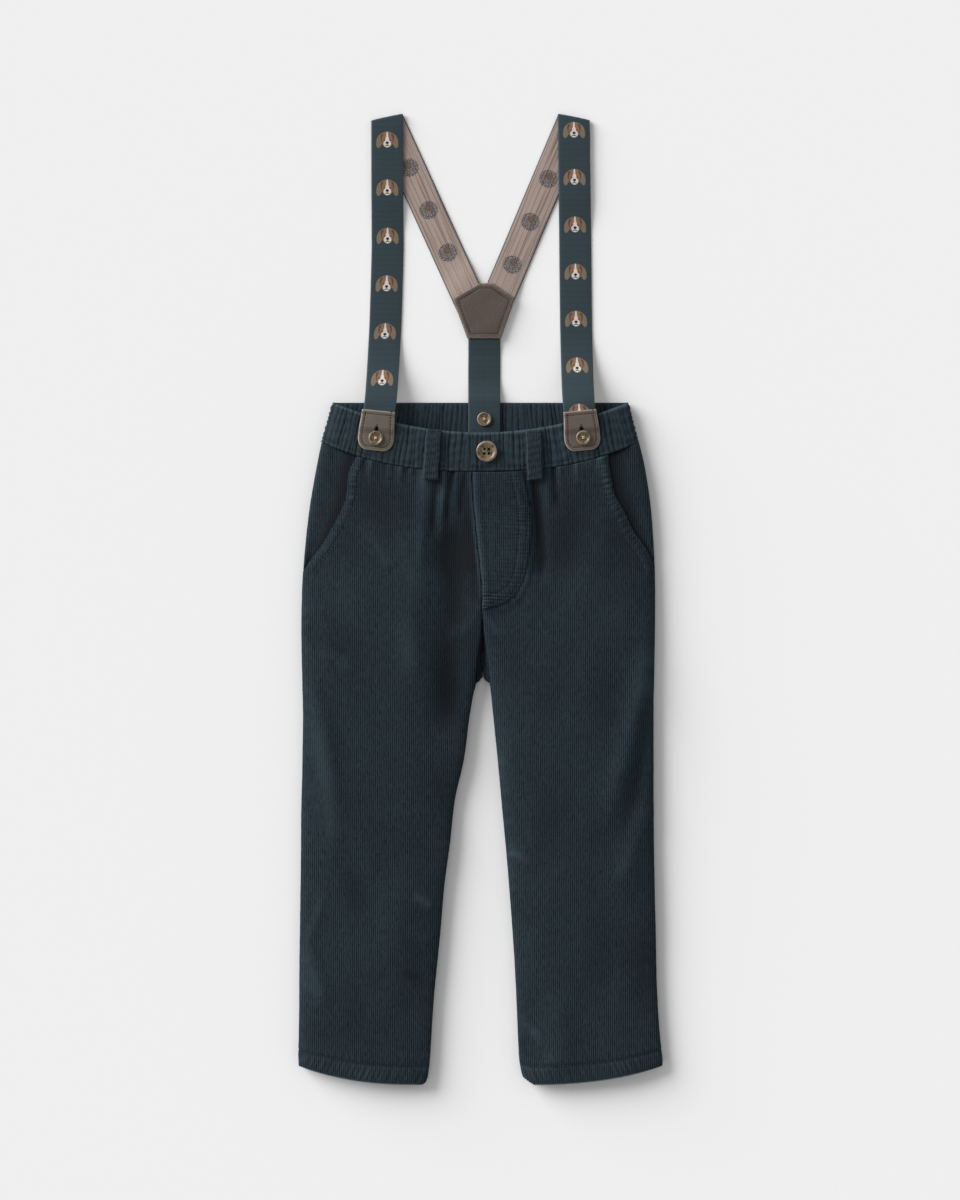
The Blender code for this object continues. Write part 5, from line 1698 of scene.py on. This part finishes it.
def tab_half(down):
    """Half-width of a tab so far below its top edge."""
    into_round = np.clip((down - TAB_LENGTH + TAB_ROUND) / TAB_ROUND, 0.0, 1.0)
    side = mix(TAB_TOP_HALF, TAB_HALF, smooth(down / (TAB_LENGTH - TAB_ROUND)))
    return TAB_END_HALF + (side - TAB_END_HALF) * np.sqrt(1.0 - into_round**2)


def tab_place(tab, across, down):
    """Real place of a point on a tab, given across it and down from its top edge."""
    lean = math.radians(tab.lean) * tab.outward
    x = tab.x + across * math.cos(lean) + down * math.sin(lean)
    y = tab.y + across * math.sin(lean) - down * math.cos(lean)
    return x, y


def tab_lift(down):
    """The tab lies on the strap's end at its top and on the waistband at its foot."""
    on_strap = ON_BAND + WEBBING + GAP
    return mix(on_strap, ON_BAND, smooth((down - STRAP_END_DOWN) / TAB_STEP))


def round_end(turns):
    """Places down a tab's round end, closer together towards its tip."""
    return TAB_LENGTH - TAB_ROUND * (1 - np.sin(turns))


def tab_leather(tab):
    """A leather tab with a rounded cut edge, a pressed stitch line and a real buttonhole."""
    straight = np.arange(0.0, TAB_LENGTH - TAB_ROUND, 0.7)
    downs = np.concatenate([straight, round_end(np.linspace(0.0, math.pi / 2, 22))])
    beyond_slot = np.linspace(0.15, 1.0, 20)
    shares = np.concatenate([-beyond_slot[::-1], np.linspace(-0.135, 0.135, 19), beyond_slot])
    down, share = grid_of(downs, shares)
    across = share * tab_half(down)
    edge = beside(tab_outline(0.0), across, down)[0]
    x, y = tab_place(tab, across, down)
    hump = 0.25 * bump(down - 16.0, 3.0)
    slot_half = mix(SLOT_WIDTH / 2, 1.4, smooth((down - SLOT_DOWN + 6.5) / 3.0))
    slot_end = np.abs(down - SLOT_DOWN) - SLOT_LENGTH / 2
    near_slot = np.maximum(np.abs(across) - slot_half, slot_end)
    slot_rim = bump(np.maximum(near_slot, 0.0), 0.5)
    rise = LEATHER - 0.55 * bump(edge, 0.5) - 0.32 * bump(edge - TAB_INSET, 0.7)
    rise += hump * smooth(edge / 2.0) - 0.3 * slot_rim
    outer = on_front(x, y, tab_lift(down) + rise)
    inner = on_front(x, y, tab_lift(down))
    lattice = grid_faces(len(downs), len(shares))
    faces = [face for face in lattice if near_slot[face].mean() > 0.0]
    layers = {"cut_edge": bump(edge, 0.8) + 0.35 * slot_rim}
    name = "tab_" + tab.name
    piece = add_wall(name + "_leather", faces, outer, inner, TAB_LEATHER, layers)
    drop_loose(piece)
    return hand_over(piece, "leather", name)


def tab_outline(inset):
    """The tab's outline as across and down pairs, moved inwards by an inset."""
    straight = np.linspace(2.0, TAB_LENGTH - TAB_ROUND, 8)
    downs = np.concatenate([[0.0], straight, round_end(np.linspace(0.15, math.pi / 2, 9))])
    side = np.stack([tab_half(downs), downs], axis=1)
    loop = np.concatenate([side, side[::-1] * (-1.0, 1.0), side[:1]])
    from_centre = loop - np.array((0.0, TAB_LENGTH / 2))
    reach = np.minimum(inset, np.maximum(np.abs(from_centre), 0.1))
    moved = loop - np.sign(from_centre) * reach * corner_share(loop)
    return [tuple(place) for place in moved]


def corner_share(loop):
    """How much of an inset acts across and down at each place of a tab's outline."""
    ahead = np.gradient(loop, axis=0)
    length = np.maximum(np.linalg.norm(ahead, axis=1), 1e-6)[:, None]
    return np.abs(ahead[:, ::-1]) / length


def yoke_patch(name, bottom):
    """A leather patch between whose two layers the straps are sewn."""
    outline = rounded_outline(YOKE, 0.9)
    top_y, low_y = YOKE[0][1], YOKE[3][1]
    heights = np.concatenate([[top_y], np.arange(top_y - 0.5, low_y, -0.9), [low_y]])
    rows = []
    for height in np.clip(heights, low_y + 0.02, top_y - 0.02):
        crossings = crossings_of(outline, height)
        rows.append(np.linspace(crossings[0], crossings[-1], YOKE_COLUMNS))
    x, y = np.concatenate(rows), np.repeat(heights, YOKE_COLUMNS)
    edge = beside(outline + outline[:1], x, y)[0]
    swell = 0.2 * np.sin(x * 0.23 + 1.0) * np.sin(y * 0.19) * smooth(edge / 4.0)
    press = 0.28 * bump(edge - YOKE_INSET, 0.7)
    top = bottom + LEATHER - 0.5 * bump(edge, 0.55) - press + np.minimum(swell, 0.12)
    outer = np.stack([x, y, top], axis=1)
    inner = np.stack([x, y, bottom + 0.25 * bump(edge, 0.5)], axis=1)
    faces = grid_faces(len(heights), YOKE_COLUMNS)
    layers = {"cut_edge": bump(edge, 2.6) * 0.55}
    piece = add_wall(name + "_leather", faces, outer, inner, PATCH_LEATHER, layers)
    return hand_over(piece, "leather", name)


def rounded_outline(corners, radius):
    """A polygon with three points at each corner, which round it off."""
    places = [np.array(corner) for corner in corners]
    outline = []
    for before, here, after in zip(places[-1:] + places, places, places[1:] + places[:1]):
        first, last = (
            here + (other - here) / np.linalg.norm(other - here) * radius for other in (before, after)
        )
        middle = here + ((first + last) / 2 - here) * 0.45
        outline += [tuple(first), tuple(middle), tuple(last)]
    return outline


def crossings_of(outline, y):
    """X of the places where an outline crosses a height, from left to right."""
    found = []
    for (x0, y0), (x1, y1) in zip(outline, outline[1:] + outline[:1]):
        if (y0 - y) * (y1 - y) < 0:
            found.append(x0 + (x1 - x0) * (y - y0) / (y1 - y0))
    return sorted(found)


# -------------------------------- buttons

Turn = namedtuple("Turn", "radius height")
# From the middle of the underside to the middle of the face, as shares of radius and thickness.
BUTTON_PROFILE = (
    Turn(0.0, 0.0),
    Turn(0.4, 0.0),
    Turn(0.72, 0.06),
    Turn(0.9, 0.26),
    Turn(0.985, 0.5),
    Turn(1.0, 0.7),
    Turn(0.975, 0.86),
    Turn(0.92, 0.97),
    Turn(0.86, 1.0),
    Turn(0.79, 0.97),
    Turn(0.72, 0.85),
    Turn(0.64, 0.7),
    Turn(0.56, 0.63),
    Turn(0.42, 0.6),
    Turn(0.0, 0.62),
)


def turned_mesh(profile, sides):
    """A solid of revolution about Z from pairs that start and end on the axis."""
    points, rings = [], []
    for radius, z in profile:
        if radius == 0.0:
            rings.append([len(points)] * sides)
            points.append((0.0, 0.0, z))
            continue
        rings.append(list(range(len(points), len(points) + sides)))
        for side in range(sides):
            turn = 2 * math.pi * side / sides
            points.append((radius * math.cos(turn), radius * math.sin(turn), z))
    faces = []
    for lower, upper in zip(rings, rings[1:]):
        for side in range(sides):
            after = (side + 1) % sides
            quad = [lower[side], lower[after], upper[after], upper[side]]
            faces.append(list(dict.fromkeys(quad)))
    return points, faces


def cut_holes(piece, radius, thick, placed):
    """Four real holes through a button."""
    holes = bmesh.new()
    for quarter in range(4):
        turn = math.pi / 4 + quarter * math.pi / 2
        place = Vector((math.cos(turn), math.sin(turn), 0.0)) * radius * HOLES_OUT
        bmesh.ops.create_cone(
            holes,
            cap_ends=True,
            segments=16,
            radius1=radius * 0.13,
            radius2=radius * 0.13,
            depth=4 * thick,
            matrix=placed @ Matrix.Translation(place),
        )
    bmesh.ops.scale(holes, vec=(MM, MM, MM), verts=holes.verts)
    cutter_mesh = bpy.data.meshes.new("holes")
    holes.to_mesh(cutter_mesh)
    holes.free()
    cutter = link(bpy.data.objects.new("holes", cutter_mesh))
    modifier = piece.modifiers.new("holes", "BOOLEAN")
    modifier.operation = "DIFFERENCE"
    modifier.object = cutter
    settle(piece)
    bpy.data.objects.remove(cutter, do_unlink=True)


Seat = namedtuple("Seat", "name radius point normal")


def button_seats():
    """Where each button sits, as in the solids."""
    x, y = FRONT_BUTTON
    seats = [Seat("front_button", FRONT_BUTTON_RADIUS, on_front(x, y, ON_BAND), seat_normal(1, x, y))]
    for tab in TABS:
        point = on_front(tab.button_x, tab.button_y, ON_BAND + LEATHER + BUTTON_SHANK)
        normal = seat_normal(tab.outward, tab.button_x, tab.button_y)
        seats.append(Seat("tab_button_" + tab.name, SMALL_BUTTON_RADIUS, point, normal))
    height = BAND_WALL + ON_BAND + WEBBING + GAP
    seats.append(Seat("back_strap_button", SMALL_BUTTON_RADIUS, (*BACK_BUTTON, height), (0.0, 0.0, 1.0)))
    return seats


def seat_normal(outward, x, y):
    x, y = np.array(float(x)), np.array(float(y))
    return tuple(front_normal(outward, x, nominal_y(x, y)))


def seated(seat):
    """The placing of a button's own frame on its seat."""
    turn = Vector((0.0, 0.0, 1.0)).rotation_difference(Vector(seat.normal))
    point = Vector([float(value) for value in seat.point])
    return Matrix.Translation(point) @ turn.to_matrix().to_4x4()


def button(seat):
    """A four-hole button with a raised rim."""
    thick = BUTTON_THICKNESS * seat.radius
    profile = [(turn.radius * seat.radius, turn.height * thick) for turn in BUTTON_PROFILE]
    points, faces = turned_mesh(profile, BUTTON_SIDES)
    placed = seated(seat)
    rim = [math.hypot(x, y) / seat.radius for x, y, _ in points]
    points = [placed @ Vector(point) for point in points]
    piece = add_piece(seat.name + "_horn", points, faces, HORN, {"rim": rim})
    outwards(piece)
    cut_holes(piece, seat.radius, thick, placed)
    piece.data.shade_smooth()
    piece.data.set_sharp_from_angle(angle=math.radians(50.0))
    return hand_over(piece, "horn", seat.name)


def cord(path, radius, sides=8):
    """Points and faces of a closed round cord along a line."""
    points = []
    for index, point in enumerate(path):
        ahead = (path[min(index + 1, len(path) - 1)] - path[max(index - 1, 0)]).normalized()
        across = ahead.orthogonal().normalized()
        above = ahead.cross(across)
        for side in range(sides):
            turn = 2 * math.pi * side / sides
            points.append(point + (across * math.cos(turn) + above * math.sin(turn)) * radius)
    return points, tube_faces(len(path), sides)


def crossing_thread(seat, turn, shift, over):
    """One thread from hole to hole: it arches over the button and dips into the holes."""
    thick = BUTTON_THICKNESS * seat.radius
    placed = seated(seat)
    line = []
    for share in np.linspace(-1.0, 1.0, 9):
        reach = seat.radius * HOLES_OUT * share
        x = reach * math.cos(turn) - shift * math.sin(turn)
        y = reach * math.sin(turn) + shift * math.cos(turn)
        lift = thick * (0.62 + 0.28 * (1.0 - abs(share) ** 3)) + over
        drop = -0.5 * smooth((abs(share) - 0.82) / 0.18)
        line.append(placed @ Vector((x, y, lift + float(drop))))
    return line


def button_threads(seat):
    """Crossed threads through a button's four holes."""
    points, faces = [], []
    for turn, over in ((45.0, 0.0), (135.0, 0.12)):
        for shift in (-0.22, 0.0, 0.22):
            line = crossing_thread(seat, math.radians(turn), shift, over)
            more, more_faces = cord(line, 0.17)
            faces += [[index + len(points) for index in face] for face in more_faces]
            points += more
    piece = add_piece(seat.name + "_threads", points, faces, BUTTON_THREAD)
    outwards(piece)
    return hand_over(piece, "horn")


# -------------------------------- sewing

Thread = namedtuple("Thread", "length gap radius")
CLOTH_THREAD = Thread(2.1, 0.55, 0.2)
TAB_THREAD = Thread(1.9, 0.4, 0.32)
TACK_THREAD = Thread(1.0, 0.1, 0.2)
SLOT_THREAD = Thread(0.9, 0.0, 0.42)
SLIT_THREAD = Thread(1.3, 0.2, 0.2)
STITCH_INPUTS = (("Pitch", "Float"), ("Length", "Float"), ("Radius", "Float"), ("Thread", "Material"))


def stitch_nodes():
    """Geometry nodes that lay short round stitches end to end along every line of a mesh."""
    group = bpy.data.node_groups.new("row of stitches", "GeometryNodeTree")
    sockets = {}
    group.interface.new_socket("Lines", in_out="INPUT", socket_type="NodeSocketGeometry")
    for label, kind in STITCH_INPUTS:
        made = group.interface.new_socket(label, in_out="INPUT", socket_type="NodeSocket" + kind)
        sockets[label] = made.identifier
    group.interface.new_socket("Stitches", in_out="OUTPUT", socket_type="NodeSocketGeometry")
    given = group.nodes.new("NodeGroupInput").outputs
    result = group.nodes.new("NodeGroupOutput").inputs
    line = put(group, "GeometryNodeMeshToCurve", {"Mesh": given["Lines"]})["Curve"]
    inputs = {"Curve": line, "Length": given["Pitch"]}
    spaced = put(group, "GeometryNodeResampleCurve", inputs, mode="LENGTH")["Curve"]
    inputs = {"Segments": 6, "Rings": 4, "Radius": 1.0}
    shape = put(group, "GeometryNodeMeshUVSphere", inputs)["Mesh"]
    inputs = {"X": given["Radius"], "Y": given["Radius"], "Z": given["Length"]}
    size = put(group, "ShaderNodeCombineXYZ", inputs)[0]
    tangent = put(group, "GeometryNodeInputTangent", {})["Tangent"]
    inputs = {"Vector": tangent}
    turn = put(group, "FunctionNodeAlignRotationToVector", inputs, axis="Z")["Rotation"]
    inputs = {0: (0.85, 0.85, 0.85), 1: (1.12, 1.12, 1.08), "Seed": 4}
    uneven = put(group, "FunctionNodeRandomValue", inputs, data_type="FLOAT_VECTOR")["Value"]
    inputs = {0: size, 1: uneven}
    scale = put(group, "ShaderNodeVectorMath", inputs, operation="MULTIPLY")["Vector"]
    inputs = {"Points": spaced, "Instance": shape, "Rotation": turn, "Scale": scale}
    placed = put(group, "GeometryNodeInstanceOnPoints", inputs)["Instances"]
    real = put(group, "GeometryNodeRealizeInstances", {"Geometry": placed})["Geometry"]
    inputs = {"Geometry": real, "Material": given["Thread"]}
    finished = put(group, "GeometryNodeSetMaterial", inputs)["Geometry"]
    group.links.new(finished, result["Stitches"])
    return group, sockets


STITCH_NODES, STITCH_SOCKETS = stitch_nodes()


def stitches(name, slot, lines, thread, material):
    """Rows of stitches along lines of points, as one plain mesh."""
    points, edges = [], []
    for line in lines:
        start = len(points)
        edges += [(start + index, start + index + 1) for index in range(len(line) - 1)]
        points += [tuple(place) for place in line]
    mesh = bpy.data.meshes.new(name)
    mesh.from_pydata((np.array(points, float) * MM).tolist(), edges, [])
    piece = link(bpy.data.objects.new(name, mesh))
    modifier = piece.modifiers.new("stitches", "NODES")
    modifier.node_group = STITCH_NODES
    modifier[STITCH_SOCKETS["Pitch"]] = (thread.length + thread.gap) * MM
    modifier[STITCH_SOCKETS["Length"]] = thread.length / 2 * MM
    modifier[STITCH_SOCKETS["Radius"]] = thread.radius * MM
    modifier[STITCH_SOCKETS["Thread"]] = material
    settle(piece)
    piece.data.shade_smooth()
    return hand_over(piece, slot)


def front_line(outward, x, y, over):
    """Points on a front panel's worked surface, a little over it."""
    x, y = np.asarray(x, float), np.asarray(y, float)
    real = real_y(outward, x, y)
    lift = np.maximum(front_relief(outward, x, y, real), -0.6)
    return front_points(outward, x, y, lift + over)


def hem_stitches(outward):
    """The row that holds a hem up."""
    y = np.full(90, HEM + HEM_DEPTH)
    x = mix(side_x(outward, y), inner_x(outward, y), np.linspace(0.02, 0.975, 90))
    return front_line(outward, x, y, -0.02)


def mouth_stitches(outward, inset):
    """A row of stitches that follows the pocket mouth, an inset away from it."""
    heights = np.linspace(WAIST - 1.0, POCKET_END + 3.0, 90)
    x = sided(outward, POCKET_MOUTH, "", heights)
    slope = np.gradient(x, heights)
    steep = np.sqrt(1.0 + slope**2)
    shifted = x - outward * inset / steep
    lowered = heights + outward * inset * slope / steep
    inside = (np.abs(shifted) < np.abs(side_x(outward, lowered)) - 2.0) & (lowered < WAIST - 0.5)
    return front_line(outward, shifted[inside], lowered[inside], -0.02)


def fly_stitches(inset):
    """A row that follows the fly's edge, an inset away from it."""
    heights = np.linspace(FLY_EDGE[0].y - 1.0, FLY_EDGE[-1].y, 300)
    edge = np.stack([read(FLY_EDGE, "x", heights), heights], axis=1)
    ahead = np.gradient(edge, axis=0)
    ahead /= np.linalg.norm(ahead, axis=1)[:, None]
    x, y = (edge + np.stack([ahead[:, 1], -ahead[:, 0]], axis=1) * inset).T
    keep = (x > inner_x(1, y) + 2.0) & (y > -9.0)
    return front_points(1, x[keep], y[keep], ON_CLOTH + GAP / 2 + CLOTH - 0.25)


def tab_stitches(tab):
    """The stitches all round a tab, an inset inside its outline."""
    across, down = np.array(tab_outline(TAB_INSET)).T
    x, y = tab_place(tab, across, down)
    return even_lengths(on_front(x, y, tab_lift(down) + LEATHER - 0.08), 1.1)


def slot_stitches(tab, side):
    """The bound edge of a tab's buttonhole, as far as the button leaves it in sight."""
    down = np.linspace(SLOT_DOWN - SLOT_LENGTH / 2 - 1.6, SLOT_DOWN, 14)
    spread = mix(0.35, 1.7, smooth((down - SLOT_DOWN + 7.5) / 4.0))
    x, y = tab_place(tab, side * spread, down)
    return on_front(x, y, tab_lift(down) + LEATHER - 0.15)


def yoke_stitches(height):
    """The row all round a yoke patch, an inset inside its outline."""
    corners = [np.array(corner) for corner in YOKE]
    inset = []
    for before, corner, after in zip(corners[-1:] + corners, corners, corners[1:] + corners[:1]):
        before, after = ((other - corner) / np.linalg.norm(other - corner) for other in (before, after))
        half_angle = math.acos(float(np.clip(before @ after, -1, 1))) / 2
        middle = (before + after) / np.linalg.norm(before + after)
        inset.append(corner + middle * YOKE_INSET / math.sin(half_angle))
    line = [(*place, height) for place in [*inset, inset[0]]]
    return even_lengths(np.array(line), 1.2)


def loop_tacks(loop):
    """Close bars of thread across both ends of a belt loop."""
    length, ahead = loop_ahead(loop)
    side = np.linspace(-LOOP_HALF + 0.8, LOOP_HALF - 0.8, 12)
    lines = []
    for down in (2.6, 3.4, length - 4.0, length - LOOP_TACK, length - 2.4):
        x, y = loop_place(loop, ahead, side, down)
        lift = ON_BAND + LOOP_LIFT * float(smooth(down / length * 4.0)) + LOOP_WALL - 0.3
        lines.append(on_front(x, y, lift))
    return lines


def slit_line():
    """The buttonholes down the middle of the back strap, drawn as a dense row of thread."""
    y = np.linspace(146.0, 200.0, 80)
    x = read(BACK_RUN, "x", y) - 0.4
    height = run_underside(BACK_RUN, x, y) + WEBBING - 0.08
    return np.stack([x, y, height], axis=1)


def sew():
    """All the sewing that shows."""
    for outward, name in SIDE_NAMES.items():
        rows = [mouth_stitches(outward, inset) for inset in (WELT_STITCH, WELT_SECOND)]
        rows.append(hem_stitches(outward))
        stitches("panel_stitches_" + name, "corduroy", rows, CLOTH_THREAD, SEAM_THREAD)
    rows = [fly_stitches(FLY_STITCH), fly_stitches(FLY_SECOND)]
    stitches("fly_stitches", "corduroy", rows, CLOTH_THREAD, SEAM_THREAD)
    for loop in LOOPS:
        stitches(loop.name + "_tacks", "corduroy", loop_tacks(loop), TACK_THREAD, SEAM_THREAD)
    for tab in TABS:
        row = [tab_stitches(tab)]
        stitches("tab_stitches_" + tab.name, "leather", row, TAB_THREAD, BROWN_THREAD)
        binding = [slot_stitches(tab, side) for side in (-1, 1)]
        stitches("buttonhole_" + tab.name, "leather", binding, SLOT_THREAD, BROWN_THREAD)
    row = [yoke_stitches(YOKE_BED + WEBBING + GAP + LEATHER - 0.2)]
    stitches("yoke_stitches", "leather", row, TAB_THREAD, BROWN_THREAD)
    stitches("strap_slits", "elastic", [slit_line()], SLIT_THREAD, BROWN_THREAD)


# -------------------------------- the scene

Cut = namedtuple("Cut", "piece width length filled held rests_on")


def build():
    """Every piece of the garment, from the panels to the sewing."""
    for outward in (-1, 1):
        front_panel(outward)
        back_panel(outward)
        pocket_facing(outward)
    fly_piece()
    waistband_front()
    waistband_back()
    for loop in LOOPS:
        belt_loop(loop)
    for strap in STRAPS:
        front_strap(strap)
    back_strap()
    for tab in TABS:
        tab_leather(tab)
    yoke_patch("yoke_patch_outer", 0.0)
    yoke_patch("yoke_patch_inner", YOKE_BED + WEBBING + GAP)
    for seat in button_seats():
        button(seat)
        if seat.radius < FRONT_BUTTON_RADIUS:
            button_threads(seat)
    sew()


def backdrop():
    """A pale even floor that the garment lies on."""
    material, _, shader = new_material("pale floor", 0.9)
    shader["Base Color"].default_value = FLOOR_COLOUR
    shader["Specular IOR Level"].default_value = 0.0
    corners = [
        (x * FLOOR_REACH, y * FLOOR_REACH, FLOOR_HEIGHT) for x, y in ((-1, -1), (1, -1), (1, 1), (-1, 1))
    ]
    add_piece("floor", corners, [[0, 1, 2, 3]], material)


def lights():
    """One soft sun from the upper left, and even light from all round."""
    sun = link(bpy.data.objects.new("window light", bpy.data.lights.new("window light", "SUN")))
    sun.data.energy = SUN_STRENGTH
    sun.data.angle = math.radians(SUN_ANGLE)
    sun.rotation_euler = Vector(SUN_FROM).normalized().to_track_quat("Z", "Y").to_euler()
    world = bpy.data.worlds.new("studio")
    world.use_nodes = True
    background = world.node_tree.nodes["Background"].inputs
    background["Color"].default_value = (1.0, 1.0, 1.0, 1.0)
    background["Strength"].default_value = SKY_STRENGTH
    bpy.context.scene.world = world


def camera():
    """Straight down, as in the photo."""
    data = bpy.data.cameras.new("camera")
    data.lens = CAMERA_LENS
    data.sensor_width = 36.0
    made = link(bpy.data.objects.new("camera", data))
    made.location = Vector(CAMERA_AT) * MM
    bpy.context.scene.camera = made
    bpy.context.scene.view_settings.view_transform = "Standard"


def write_size():
    """Brings the scene up to date."""
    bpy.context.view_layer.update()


build()
backdrop()
lights()
camera()
write_size()
